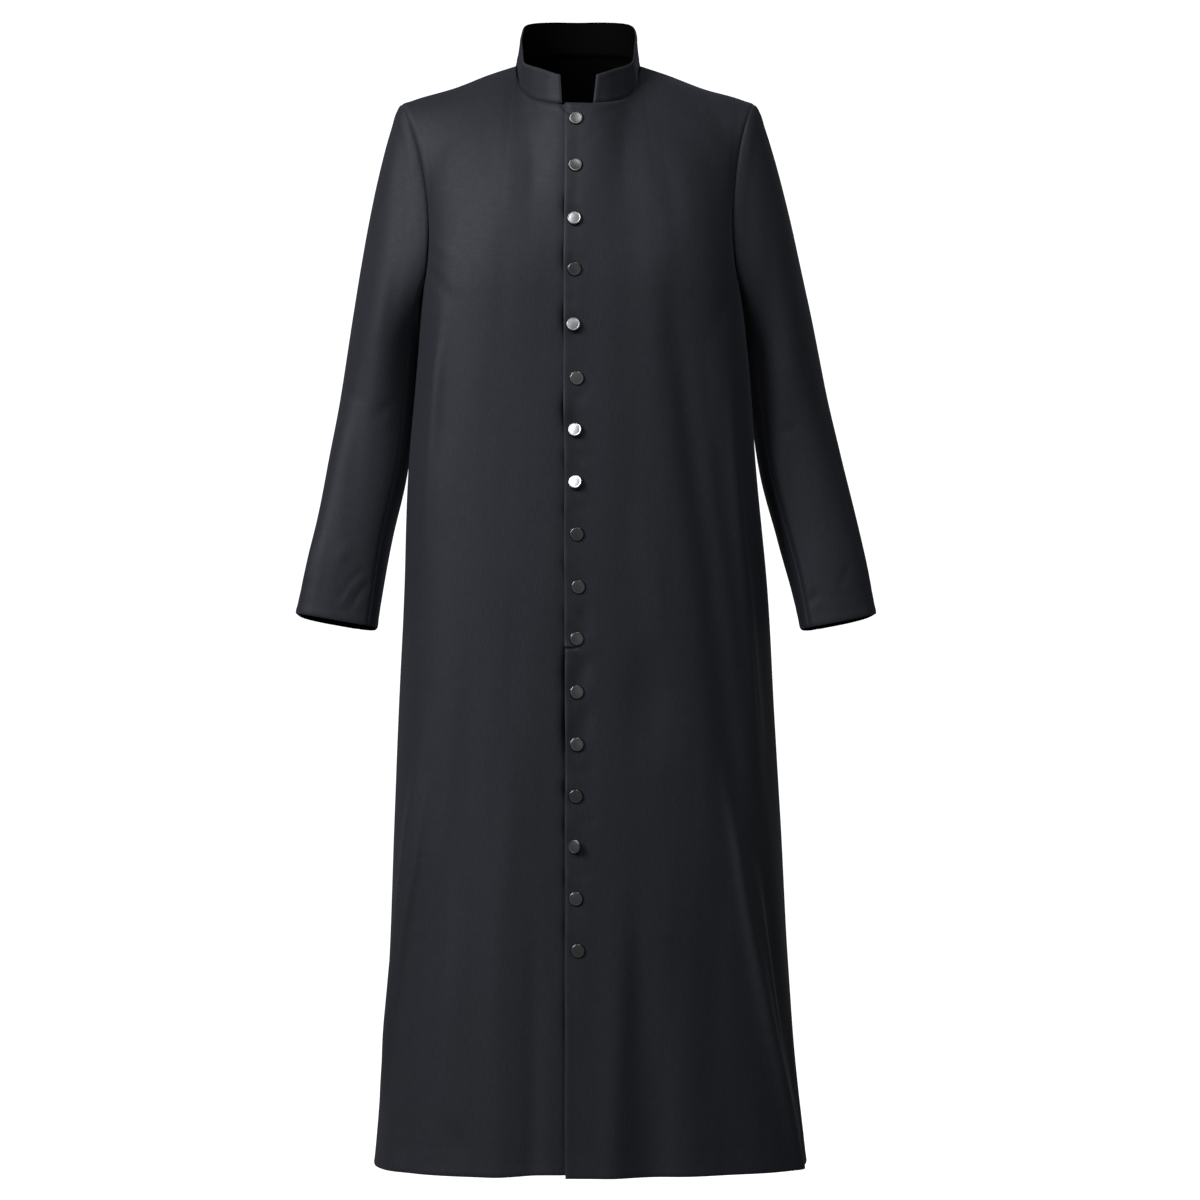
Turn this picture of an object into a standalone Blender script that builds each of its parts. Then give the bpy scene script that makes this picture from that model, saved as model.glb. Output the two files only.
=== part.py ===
"""Cassock, worn shape with no wearer: stand collar with a square front notch,
two fronts lapping left over right, a one-piece back, two-piece sleeves and
seventeen metal snap caps.  Metres, +Z up, the front faces -Y, +X is the
wearer's left.  The origin is where the shoulders carry the garment."""

import math

import bmesh
import bpy
import numpy as np
from mathutils import Matrix, Vector
from mathutils.bvhtree import BVHTree

# ------------------------------------------------------------ driving sizes
CLOTH = 0.0016            # wall of the cloth
SEAM = 0.0003             # gap between two pieces at a seam
LAP_LIFT = CLOTH + SEAM   # the left front lies this far out over the right one
LAP_EDGE_X = -0.0160      # front edge of the left front
UNDERLAP_X = 0.0220       # hidden front edge of the right front
LAP_RAMP_X = 0.0480       # where the lift of the left front has died out

UNDER_HEM_LIFT = 0.0040   # the right front hangs this much shorter at the closing
UNDERARM_Z = -0.300       # level of the armhole's lowest point
SIDE_SEAM_DEG = 84.0      # side seam down the skirt, in front of the widest point
UNDERARM_DEG = 94.0       # where it ends at the underarm, just behind that point
NECK_DEG = 26.0           # ring angle whose line runs up to the neck point

SNAP_COUNT = 17
SNAP_RADIUS = 0.0083
SNAP_HEIGHT = 0.0030

# rings of the body: half widths to the left and right edge of the outline,
# the place of the widest point, and the depths in front of and behind it
SECTION_COLUMNS = ("z", "half_minus_x", "half_plus_x", "side_y", "front", "back", "square")
SECTIONS = (
    (-1.400, 0.2582, 0.2912, -0.002, 0.156, 0.168, 0.035),
    (-1.270, 0.2470, 0.2755, -0.003, 0.152, 0.163, 0.037),
    (-1.130, 0.2385, 0.2645, -0.004, 0.148, 0.157, 0.040),
    (-0.980, 0.2330, 0.2570, -0.005, 0.143, 0.149, 0.042),
    (-0.830, 0.2268, 0.2486, -0.008, 0.137, 0.142, 0.045),
    (-0.680, 0.2192, 0.2404, -0.013, 0.129, 0.139, 0.048),
    (-0.518, 0.2134, 0.2250, -0.019, 0.119, 0.133, 0.050),
    (-0.400, 0.2040, 0.2170, -0.022, 0.114, 0.140, 0.050),
    (-0.300, 0.1965, 0.2070, -0.020, 0.114, 0.147, 0.050),
)

# hem height around the body, by ring angle from the centre front
HEM_COLUMNS = ("angle", "z")
HEM = ((0.0, -1.3925), (40.0, -1.3930), (90.0, -1.3975), (180.0, -1.4000))

# neckline seam and the stand band on it, by plan angle from the centre front
NECK_COLUMNS = ("angle", "seam_z", "band", "lean_forward", "lean_in")
NECK = (
    (0.0, -0.0640, 0.0350, -7.0, 0.0),
    (30.0, -0.0612, 0.0375, -3.0, 4.0),
    (60.0, -0.0445, 0.0375, 9.0, 5.0),
    (75.0, -0.0270, 0.0370, 20.0, 6.0),
    (90.0, -0.0070, 0.0380, 24.0, 6.0),
    (120.0, 0.0115, 0.0400, 8.0, 5.0),
    (150.0, 0.0180, 0.0420, -2.0, 3.0),
    (180.0, 0.0195, 0.0425, -4.0, 2.0),
)
NECK_HALF = 0.0790        # half width of the neckline
NECK_SIDE_Y = 0.0120      # the neck point, where the shoulder seam starts
NECK_FRONT = 0.1000       # neckline depth in front of it
NECK_BACK = 0.0600        # and behind it
NOTCH_DEG = 14.4          # plan angle of both band ends at the seam
NOTCH_TOP_MINUS_DEG = 16.4       # and at the top, at -X
NOTCH_TOP_PLUS_DEG = 17.9        # and at +X

# shoulder seam from the neck point (0) to the sleeve head (1)
SHOULDER_COLUMNS = ("along", "x", "y", "z")
SHOULDER = (
    (0.00, 0.0790, 0.012, -0.0070),
    (0.25, 0.1130, 0.012, -0.0185),
    (0.55, 0.1600, 0.011, -0.0360),
    (0.80, 0.2010, 0.009, -0.0475),
    (1.00, 0.2270, 0.008, -0.0575),
)

# how the cloth arrives at the top edge: elevation of its direction, measured
# in front from the horizontal, by ring angle
RISE_COLUMNS = ("angle", "elevation", "pull")
RISE_FRONT = ((0.0, 64.0, 0.90), (13.0, 52.0, 0.85), (26.0, 30.0, 0.80), (55.0, 15.0, 0.75), (90.0, 6.0, 0.70))
RISE_BACK = ((90.0, -6.0, 0.70), (125.0, -6.0, 0.65), (154.0, 10.0, 0.60), (167.0, 40.0, 0.65), (180.0, 62.0, 0.75))

# the armhole on the body: w runs once round from the underarm point, up the
# front, over the shoulder tip (0.5) and down the back
ARMHOLE_COLUMNS = ("w", "angle", "level")
ARMHOLE = (
    (0.000, 94.0, 0.000),
    (0.035, 86.5, 0.010),
    (0.080, 78.5, 0.045),
    (0.130, 73.5, 0.105),
    (0.190, 71.5, 0.200),
    (0.260, 73.0, 0.340),
    (0.340, 78.5, 0.540),
    (0.420, 84.5, 0.765),
    (0.500, 90.0, 1.000),
    (0.580, 96.5, 0.765),
    (0.660, 103.0, 0.540),
    (0.740, 108.0, 0.350),
    (0.810, 109.5, 0.215),
    (0.875, 108.5, 0.115),
    (0.930, 105.5, 0.045),
    (0.970, 100.5, 0.010),
    (1.000, 94.0, 0.000),
)

# sleeve centre line and half sizes; x and half_x stand for each side of the body
SLEEVE_COLUMNS = ("z", "x_minus", "x_plus", "y", "half_minus", "half_plus", "depth")
SLEEVE = (
    (-0.375, -0.2482, 0.2602, 0.031, 0.0468, 0.0473, 0.0770),
    (-0.445, -0.2570, 0.2715, 0.030, 0.0490, 0.0500, 0.0710),
    (-0.518, -0.2686, 0.2850, 0.023, 0.0503, 0.0525, 0.0640),
    (-0.590, -0.2835, 0.3030, 0.013, 0.0488, 0.0515, 0.0580),
    (-0.655, -0.2967, 0.3190, 0.002, 0.0508, 0.0500, 0.0520),
    (-0.7090, -0.3065, 0.3300, -0.007, 0.0525, 0.0490, 0.0460),
)
# direction in which the sleeve leaves the armhole: outward, forward, down
HEAD_COLUMNS = ("w", "outward", "forward", "down", "pull")
HEAD = (
    (0.00, 0.32, -0.25, 0.92, 0.8),
    (0.12, 0.45, 0.15, 0.88, 0.9),
    (0.25, 0.66, 0.10, 0.74, 1.0),
    (0.40, 0.52, 0.04, 0.85, 0.8),
    (0.50, 0.40, 0.00, 0.92, 0.7),
    (0.60, 0.52, -0.06, 0.85, 0.8),
    (0.75, 0.66, -0.30, 0.72, 1.0),
    (0.88, 0.45, -0.45, 0.85, 0.9),
    (1.00, 0.32, -0.25, 0.92, 0.8),
)
# stations round the armhole where body and sleeve share their corners; the
# under sleeve lies between the hind seam and the forearm seam
FRONT_STATIONS = (0.04, 0.08, 0.12, 0.17, 0.23, 0.30, 0.37, 0.44, 0.50)
BACK_STATIONS = (0.965, 0.92, 0.87, 0.82, 0.76, 0.70, 0.64, 0.57, 0.50)
FOREARM_W = 0.12
HIND_W = 0.82

# the largest folds: where each one runs on the body, how wide and how deep
FOLD_COLUMNS = ("z_top", "angle_top", "z_low", "angle_low", "width", "depth")
FOLDS = (
    (-0.22, 26.0, -1.02, 49.0, 6.5, -0.0070),     # long trough, +X front
    (-0.36, 54.0, -0.90, 60.0, 5.5, 0.0040),      # ridge beside it
    (-0.84, 41.0, -1.42, 70.0, 6.5, 0.0080),      # flare ridge, +X front
    (-0.92, 54.0, -1.42, 82.0, 6.5, -0.0050),     # hollow behind it
    (-1.02, 14.0, -1.48, 16.0, 5.0, -0.0045),     # step beside the closing
    (-0.30, -50.0, -0.62, -56.0, 5.0, 0.0045),    # ridge, -X front
    (-0.80, -48.0, -1.30, -78.0, 6.5, 0.0075),    # flare ridge, -X front
    (-0.95, -38.0, -1.45, -54.0, 6.5, -0.0045),   # hollow in front of it
    (-0.70, 128.0, -1.50, 124.0, 7.0, 0.0110),    # back skirt
    (-0.62, 150.0, -1.50, 146.0, 7.0, -0.0100),
    (-0.74, 171.0, -1.50, 168.0, 7.0, 0.0090),
    (-0.66, -160.0, -1.50, -166.0, 7.0, -0.0080),
    (-0.58, -138.0, -1.50, -141.0, 7.0, 0.0110),
    (-0.80, -116.0, -1.50, -117.0, 6.0, -0.0070),
)

# heights of the snap caps and their sideways places, from the neck down
SNAP_COLUMNS = ("x", "z")
SNAPS = (
    (-0.0018, -0.0845), (-0.0025, -0.1445), (-0.0035, -0.2120), (-0.0035, -0.2752),
    (-0.0050, -0.3435), (-0.0005, -0.4098), (-0.0030, -0.4735), (-0.0025, -0.5378),
    (-0.0005, -0.6022), (0.0012, -0.6670), (-0.0005, -0.7307), (-0.0005, -0.7962),
    (-0.0005, -0.8605), (-0.0017, -0.9243), (-0.0030, -0.9858), (-0.0017, -1.0500),
    (0.0008, -1.1137),
)

# how finely each piece is laid out; neck stations are plan angles that the
# band shares with the fronts and the back
NECK_FRONT_STATIONS = (30.0, 45.0, 60.0, 75.0, 90.0)
NECK_BACK_STATIONS = (90.0, 108.0, 126.0, 144.0, 162.0, 180.0)
SHOULDER_COLUMN_COUNT = 9
SKIRT_ROWS = 11
HEAD_LEVELS = (0.0, 0.10, 0.26, 0.48, 0.74, 1.0)
SLEEVE_ROWS = 7


# ------------------------------------------------------------ small helpers
def column(table, names, key):
    k = names.index(key)
    return np.array([row[k] for row in table], dtype=float)


def smooth(xs, ys, x, flat_ends=False):
    """Smooth curve through the rows of a table."""
    xs = np.asarray(xs, dtype=float)
    ys = np.asarray(ys, dtype=float)
    if xs[0] > xs[-1]:
        xs, ys = xs[::-1], ys[::-1]
    step = np.diff(xs)
    rise = np.diff(ys) / step
    slope = np.empty_like(ys)
    slope[1:-1] = (rise[:-1] * step[1:] + rise[1:] * step[:-1]) / (step[:-1] + step[1:])
    slope[0] = 0.0 if flat_ends else rise[0]
    slope[-1] = 0.0 if flat_ends else rise[-1]
    x = np.clip(np.asarray(x, dtype=float), xs[0], xs[-1])
    i = np.clip(np.searchsorted(xs, x, side="right") - 1, 0, len(step) - 1)
    t = (x - xs[i]) / step[i]
    h = step[i]
    return ((2 * t**3 - 3 * t**2 + 1) * ys[i] + (t**3 - 2 * t**2 + t) * h * slope[i]
            + (3 * t**2 - 2 * t**3) * ys[i + 1] + (t**3 - t**2) * h * slope[i + 1])


def pick(table, names, at, key, x, flat_ends=False):
    return smooth(column(table, names, at), column(table, names, key), x, flat_ends)


def vec(x, y, z):
    x, y, z = np.broadcast_arrays(x, y, z)
    return np.stack([x, y, z], axis=-1).astype(float)


def unit(v):
    return v / np.maximum(np.linalg.norm(v, axis=-1, keepdims=True), 1e-12)


def step_up(x, low, high):
    t = np.clip((np.asarray(x, dtype=float) - low) / (high - low), 0.0, 1.0)
    return t * t * (3.0 - 2.0 * t)


def bridge(p0, v0, p1, v1, t):
    """Cubic from p0 to p1 that leaves along v0 and arrives along v1."""
    t = np.asarray(t, dtype=float)[..., None]
    return ((2 * t**3 - 3 * t**2 + 1) * p0 + (t**3 - 2 * t**2 + t) * v0
            + (3 * t**2 - 2 * t**3) * p1 + (t**3 - t**2) * v1)


# ------------------------------------------------------------ the body form
def ring(angle, z):
    """Point of the body's outer face: angle in degrees from the centre front,
    positive towards +X, and height."""
    angle = np.asarray(angle, dtype=float)
    z = np.asarray(z, dtype=float)
    size = {key: pick(SECTIONS, SECTION_COLUMNS, "z", key, z)
            for key in ("half_minus_x", "half_plus_x", "side_y", "front", "back", "square")}
    mag = np.radians(np.abs(angle))
    half = np.where(angle < 0, size["half_minus_x"], size["half_plus_x"])
    sq = size["square"]
    across = (np.sin(mag) + sq * np.sin(3 * mag)) / (1 - sq)
    along = (np.cos(mag) - sq * np.cos(3 * mag)) / (1 - sq)
    deep = np.where(along > 0, size["front"], size["back"])
    return vec(np.sign(angle) * half * across, size["side_y"] - deep * along, z)


def neck_seam(plan):
    """Point of the neckline by signed plan angle."""
    mag = np.abs(plan)
    rad = np.radians(mag)
    deep = np.where(mag < 90.0, NECK_FRONT, NECK_BACK)
    return vec(np.sign(plan) * NECK_HALF * np.sin(rad), NECK_SIDE_Y - deep * np.cos(rad),
               pick(NECK, NECK_COLUMNS, "angle", "seam_z", mag, True))


def top_edge(angle):
    """Neckline and shoulder seam as the top edge of the body, by ring angle."""
    sign = np.where(angle < 0, -1.0, 1.0)
    mag = np.abs(angle)
    fold = np.minimum(mag, 180.0 - mag)             # 0 at the centres, 90 at the sides
    plan = 90.0 * np.clip(fold / NECK_DEG, 0.0, 1.0)
    plan = np.where(mag < 90.0, plan, 180.0 - plan)
    neck = neck_seam(sign * plan)
    k = np.clip((fold - NECK_DEG) / (90.0 - NECK_DEG), 0.0, 1.0)
    shoulder = vec(sign * pick(SHOULDER, SHOULDER_COLUMNS, "along", "x", k),
                   pick(SHOULDER, SHOULDER_COLUMNS, "along", "y", k),
                   pick(SHOULDER, SHOULDER_COLUMNS, "along", "z", k))
    return np.where((fold < NECK_DEG)[..., None], neck, shoulder)


def top_direction(angle):
    mag = np.abs(angle)
    front = np.radians(pick(RISE_FRONT, RISE_COLUMNS, "angle", "elevation", mag))
    back = np.radians(pick(RISE_BACK, RISE_COLUMNS, "angle", "elevation", mag))
    pull = np.where(mag <= 90.0, pick(RISE_FRONT, RISE_COLUMNS, "angle", "pull", mag),
                    pick(RISE_BACK, RISE_COLUMNS, "angle", "pull", mag))
    d = np.where((mag <= 90.0)[..., None], vec(0.0, np.cos(front), np.sin(front)),
                 vec(0.0, -np.cos(back), np.sin(back)))
    return d * pull[..., None]


def soft_top_edge(angle):
    """Top edge with its corner at the neck point rounded off, for the cloth
    some way below that corner."""
    mag = np.abs(angle)
    fold = np.minimum(mag, 180.0 - mag)
    near = 1.0 - step_up(np.abs(fold - NECK_DEG), 6.0, 22.0)
    exact = top_edge(angle)
    mean = np.zeros_like(exact)
    for off, share in ((-12.0, 0.15), (-6.0, 0.22), (0.0, 0.26), (6.0, 0.22), (12.0, 0.15)):
        mean = mean + share * top_edge(np.where(angle < 0, angle - off, angle + off))
    return exact + (mean - exact) * near[..., None]


def hem(angle):
    return pick(HEM, HEM_COLUMNS, "angle", "z", np.abs(angle), True)


def form(angle, level):
    """Body surface.  Level runs from 0 at the hem to 1 at the underarm and
    2 at the neckline and shoulder seam."""
    angle, level = np.broadcast_arrays(np.asarray(angle, dtype=float), np.asarray(level, dtype=float))
    z = hem(angle) + (UNDERARM_Z - hem(angle)) * np.clip(level, 0.0, 1.0)
    low = ring(angle, z)
    base = ring(angle, np.full_like(angle, UNDERARM_Z))
    below = ring(angle, np.full_like(angle, UNDERARM_Z - 0.02))
    up = np.clip(level - 1.0, 0.0, 1.0)
    soft = soft_top_edge(angle)
    top = soft + (top_edge(angle) - soft) * (up**5)[..., None]
    chord = np.linalg.norm(soft - base, axis=-1, keepdims=True)
    leave = unit(base - below) * chord * 0.95
    arrive = top_direction(angle) * chord
    high = bridge(base, leave, top, arrive, up)
    return np.where((level > 1.0)[..., None], high, low)


def facing(surface, a0, a1, a, b0, b1, b):
    """Outward unit normal of a surface by differences that stay inside it."""
    return unit(np.cross(surface(a1, b) - surface(a0, b), surface(a, b1) - surface(a, b0)))


def around(angle, level, da, db):
    """Neighbours of a body point for its normal.  Above the underarm they
    stay on the point's own side of the shoulder line."""
    angle, level = np.broadcast_arrays(np.asarray(angle, dtype=float), np.asarray(level, dtype=float))
    sign = np.where(angle < 0, -1.0, 1.0)
    mag = np.abs(angle)
    low, high = mag - da, mag + da
    chest = level > 1.0
    high = np.where(chest & (mag <= 90.0), np.minimum(high, 90.0), high)
    low = np.where(chest & (mag > 90.0), np.maximum(low, 90.0), low)
    first, last = np.where(sign > 0, low, -high), np.where(sign > 0, high, -low)
    return first, last, angle, np.maximum(level - db, 0.0), np.minimum(level + db, 2.0), level


def form_normal(angle, level):
    return facing(form, *around(angle, level, 0.4, 0.004))


def fold_height(angle, point):
    """How far the folds move a point of the body outward."""
    z = point[..., 2]
    total = np.zeros_like(z)
    for row in FOLDS:
        f = dict(zip(FOLD_COLUMNS, row))
        run = np.clip((f["z_top"] - z) / (f["z_top"] - f["z_low"]), 0.0, 1.0)
        centre = f["angle_top"] + (f["angle_low"] - f["angle_top"]) * run
        off = (angle - centre + 180.0) % 360.0 - 180.0
        grow = step_up(f["z_top"] - z, 0.0, 0.35 * (f["z_top"] - f["z_low"]))
        fade = 1.0 - step_up(f["z_low"] - z, -0.10, 0.06) if f["z_low"] > -1.40 else 1.0
        width = f["width"] * (0.7 + 0.5 * run)
        total = total + f["depth"] * grow * fade * np.exp(-((off / width) ** 2))
    return total


def body(angle, level, lift=0.0):
    """Outer point, inward direction and fold height of the body cloth."""
    angle, level = np.broadcast_arrays(np.asarray(angle, dtype=float), np.asarray(level, dtype=float))
    point = form(angle, level)
    normal = form_normal(angle, level)
    move = fold_height(angle, point) + lift
    return point + normal * move[..., None], normal


def folded(angle, level):
    return body(angle, level)[0]


def shell_normal(angle, level):
    """Normal of the folded cloth, the same for both pieces at a seam."""
    return facing(folded, *around(angle, level, 0.8, 0.008))


# ------------------------------------------------------------ the armhole and sleeve
def armhole(w, side):
    angle = pick(ARMHOLE, ARMHOLE_COLUMNS, "w", "angle", w)
    level = pick(ARMHOLE, ARMHOLE_COLUMNS, "w", "level", w)
    return side * angle, 1.0 + np.clip(level, 0.0, 1.0)


def armhole_point(w, side):
    angle, level = armhole(w, side)
    return folded(angle, level), shell_normal(angle, level)


def sleeve_frame(z, side):
    key = "plus" if side > 0 else "minus"

    def centre(h):
        return vec(pick(SLEEVE, SLEEVE_COLUMNS, "z", "x_" + key, h),
                   pick(SLEEVE, SLEEVE_COLUMNS, "z", "y", h), h)

    z = np.asarray(z, dtype=float)
    low, high = SLEEVE[-1][0], SLEEVE[0][0]
    z0, z1 = np.clip(z - 0.01, low, high), np.clip(z + 0.01, low, high)
    down = unit(centre(z0) - centre(z1))
    out = vec(side, 0.0, 0.0) + np.zeros_like(down)
    out = unit(out - down * np.sum(out * down, axis=-1, keepdims=True))
    ahead = np.cross(down, out) * side
    ahead = np.where(ahead[..., 1:2] > 0, -ahead, ahead)
    return (centre(z), down, out, ahead,
            pick(SLEEVE, SLEEVE_COLUMNS, "z", "half_" + key, z),
            pick(SLEEVE, SLEEVE_COLUMNS, "z", "depth", z))


def sleeve_ring(w, z, side):
    c, _, out, ahead, half, depth = sleeve_frame(z, side)
    a = 2 * np.pi * np.asarray(w, dtype=float)
    return c - out * (half * np.cos(a))[..., None] + ahead * (depth * np.sin(a))[..., None]


def sleeve(w, level, side):
    """Sleeve surface: level 0 at the armhole, 1 at the end of the head and
    2 at the cuff."""
    w, level = np.broadcast_arrays(np.asarray(w, dtype=float), np.asarray(level, dtype=float))
    w = w % 1.0
    z_head, z_cuff = SLEEVE[0][0], SLEEVE[-1][0]
    start, _ = armhole_point(w, side)
    first = sleeve_ring(w, np.full_like(w, z_head), side)
    second = sleeve_ring(w, np.full_like(w, z_head - 0.02), side)
    chord = np.linalg.norm(first - start, axis=-1, keepdims=True)
    leave = unit(vec(side * pick(HEAD, HEAD_COLUMNS, "w", "outward", w),
                     -pick(HEAD, HEAD_COLUMNS, "w", "forward", w),
                     -pick(HEAD, HEAD_COLUMNS, "w", "down", w)))
    leave = leave * chord * pick(HEAD, HEAD_COLUMNS, "w", "pull", w)[..., None]
    arrive = unit(second - first) * chord
    head = bridge(start, leave, first, arrive, np.clip(level, 0.0, 1.0))
    z = z_head + (z_cuff - z_head) * np.clip(level - 1.0, 0.0, 1.0)
    arm = sleeve_ring(w, z, side)
    return np.where((level > 1.0)[..., None], arm, head)


def sleeve_normal(w, level, side):
    w, level = np.broadcast_arrays(np.asarray(w, dtype=float), np.asarray(level, dtype=float))
    return -side * facing(lambda a, b: sleeve(a, b, side), w - 0.004, w + 0.004, w,
                         np.maximum(level - 0.006, 0.0), np.minimum(level + 0.006, 2.0), level)


# ------------------------------------------------------------ making a cloth piece
def cloth_piece(name, outer, inner, material, collection):
    """Closed wall between an outer and an inner grid of points."""
    rows, cols = outer.shape[:2]
    mesh = bpy.data.meshes.new(name)
    bm = bmesh.new()
    skins = []
    for grid in (outer, inner):
        skins.append([[bm.verts.new(grid[r, c]) for c in range(cols)] for r in range(rows)])
    out, inn = skins
    for r in range(rows - 1):
        for c in range(cols - 1):
            bm.faces.new((out[r][c], out[r][c + 1], out[r + 1][c + 1], out[r + 1][c]))
            bm.faces.new((inn[r][c], inn[r + 1][c], inn[r + 1][c + 1], inn[r][c + 1]))
    rim = [(out[0][c + 1], out[0][c], inn[0][c], inn[0][c + 1]) for c in range(cols - 1)]
    rim += [(out[-1][c], out[-1][c + 1], inn[-1][c + 1], inn[-1][c]) for c in range(cols - 1)]
    rim += [(out[r][0], out[r + 1][0], inn[r + 1][0], inn[r][0]) for r in range(rows - 1)]
    rim += [(out[r + 1][-1], out[r][-1], inn[r][-1], inn[r + 1][-1]) for r in range(rows - 1)]
    for a, b, c, d in rim:      # split the same way on both pieces at a seam
        if a.co.z > b.co.z:
            bm.faces.new((a, b, c))
            bm.faces.new((a, c, d))
        else:
            bm.faces.new((a, b, d))
            bm.faces.new((b, c, d))
    bmesh.ops.triangulate(bm, faces=bm.faces[:])
    if bm.calc_volume(signed=True) < 0:
        bmesh.ops.reverse_faces(bm, faces=bm.faces[:])
    bm.to_mesh(mesh)
    bm.free()
    mesh.shade_smooth()
    mesh.set_sharp_from_angle(angle=math.radians(40))
    mesh.materials.append(material)
    obj = bpy.data.objects.new(name, mesh)
    collection.objects.link(obj)
    return obj


def material(name, colour, roughness, metallic):
    mat = bpy.data.materials.new(name)
    mat.use_nodes = True
    shader = mat.node_tree.nodes["Principled BSDF"]
    shader.inputs["Base Color"].default_value = (*colour, 1.0)
    shader.inputs["Roughness"].default_value = roughness
    shader.inputs["Metallic"].default_value = metallic
    return mat


def angle_at(x, level):
    """Ring angle whose point on the body lies at x, near the closing."""
    level = np.asarray(level, dtype=float)
    low, high = np.full_like(level, -40.0), np.full_like(level, 40.0)
    for _ in range(40):
        mid = 0.5 * (low + high)
        past = form(mid, level)[..., 0] > x
        high = np.where(past, mid, high)
        low = np.where(past, low, mid)
    return 0.5 * (low + high)


def body_levels(stations):
    """Levels of the rows: even down the skirt, at the armhole stations above."""
    _, chest = armhole(np.array(stations), 1)
    return np.concatenate([np.linspace(0.0, 1.0, SKIRT_ROWS + 1), chest])


def side_seam(level):
    """Ring angle of the side seam, which swings back towards the underarm."""
    return SIDE_SEAM_DEG + (UNDERARM_DEG - SIDE_SEAM_DEG) * step_up(level, 0.45, 1.0)


def side_columns(levels, stations, back):
    """Ring angles from the neck point's column out to the side seam and the
    armhole, a row for each level."""
    skirt = side_seam(levels[:SKIRT_ROWS + 1])
    edge = np.concatenate([skirt, armhole(np.array(stations), 1)[0]])
    k = np.linspace(0.0, 1.0, SHOULDER_COLUMN_COUNT + 1)[1:]
    start = 180.0 - NECK_DEG if back else NECK_DEG
    rows = start + (SIDE_SEAM_DEG - start) * k + (edge[:, None] - SIDE_SEAM_DEG) * k**2.2
    even = start + (edge[:, None] - start) * k   # the shoulder seam's own division
    near_top = step_up(levels, 1.5, 2.0)[:, None]
    return rows + (even - rows) * near_top


def back_off(angle, level, point, forward):
    """Pull a body panel back from the neck seam and the shoulder seam."""
    top = np.abs(90.0 - np.abs(angle[-1]))
    neck = top > 89.9 - NECK_DEG
    shoulder = top < 90.1 - NECK_DEG
    lower = folded(angle[-1], level[-1] - SEAM / 2 / 0.25)
    point[-1] = np.where(neck[:, None], lower, point[-1])
    point[-1, :, 1] += np.where(shoulder, 0.6, 0.0) * SEAM * (-1.0 if forward else 1.0)


def mitred(angle, normals, stations, columns):
    """Inward directions of a body panel: shared with the other panel along
    the shoulder seam and with the sleeve round the armhole."""
    out = normals.copy()
    top = angle[-1]
    across = np.where(top < 0, -180.0 - top, 180.0 - top)
    shared = shell_normal(top, np.full_like(top, 2.0)) + shell_normal(across, np.full_like(top, 2.0))
    on_shoulder = np.abs(90.0 - np.abs(top)) < 90.1 - NECK_DEG
    out[-1] = np.where(on_shoulder[:, None], unit(shared), out[-1])
    for c, side in columns:
        out[SKIRT_ROWS + 1:, c] = mitre(np.array(stations), side)
    return out


def front_panel(name, side, mat, collection):
    """One front.  side +1 is the lapping one, side -1 the one under it."""
    levels = body_levels(FRONT_STATIONS)
    over_edge, under_edge = angle_at(LAP_EDGE_X, levels), angle_at(UNDERLAP_X, levels)
    near = (over_edge, under_edge) if side > 0 else (-under_edge, -over_edge)
    neck = np.array(NECK_FRONT_STATIONS) * NECK_DEG / 90.0
    neck = np.repeat(neck[None, :], len(levels), axis=0)
    grid = np.concatenate([near[0][:, None], near[1][:, None], neck,
                           side_columns(levels, FRONT_STATIONS, False)], axis=1)
    level = np.repeat(levels[:, None], grid.shape[1], axis=1)
    # hold the piece back from its seams by half a gap
    on_side = levels <= 1.0
    grid[on_side, -1] -= np.degrees(SEAM / 2 / 0.15)
    if side < 0:
        level[0, :] += UNDER_HEM_LIFT * (1.0 - step_up(grid[0], 6.0, 22.0)) / (UNDERARM_Z - HEM[0][1])
    angle = grid * side
    point, _ = body(angle, level)
    back_off(angle, level, point, True)
    face = shell_normal(angle, level)
    if side > 0:
        lift = LAP_LIFT * (1.0 - step_up(point[..., 0], UNDERLAP_X + 0.003, LAP_RAMP_X))
        point = point + face * lift[..., None]
    inner_skin = point - mitred(angle, face, FRONT_STATIONS, ((-1, side),)) * CLOTH
    if side < 0:
        point, inner_skin = point[:, ::-1], inner_skin[:, ::-1]
    return cloth_piece(name, point, inner_skin, mat, collection)


def back_panel(name, mat, collection):
    levels = body_levels(BACK_STATIONS)
    neck = 180.0 - (180.0 - np.array(NECK_BACK_STATIONS)) * NECK_DEG / 90.0
    neck = np.repeat(neck[None, :], len(levels), axis=0)
    half = np.concatenate([side_columns(levels, BACK_STATIONS, True)[:, ::-1], neck], axis=1)
    half[levels <= 1.0, 0] += np.degrees(SEAM / 2 / 0.15)
    angle = np.concatenate([half, -half[:, -2::-1]], axis=1)
    level = np.repeat(levels[:, None], angle.shape[1], axis=1)
    point, _ = body(angle, level)
    back_off(angle, level, point, False)
    face = shell_normal(angle, level)
    inward = mitred(angle, face, BACK_STATIONS, ((0, 1), (-1, -1)))
    return cloth_piece(name, point, point - inward * CLOTH, mat, collection)


def mitre(w, side):
    """Shared edge direction where the sleeve is set into the armhole."""
    _, body_face = armhole_point(w, side)
    sleeve_face = sleeve_normal(w, np.zeros_like(w) + 0.02, side)
    half = unit(body_face + sleeve_face)
    lean = np.clip(np.sum(half * body_face, axis=-1, keepdims=True), 0.6, 1.0)
    return half / lean


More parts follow.
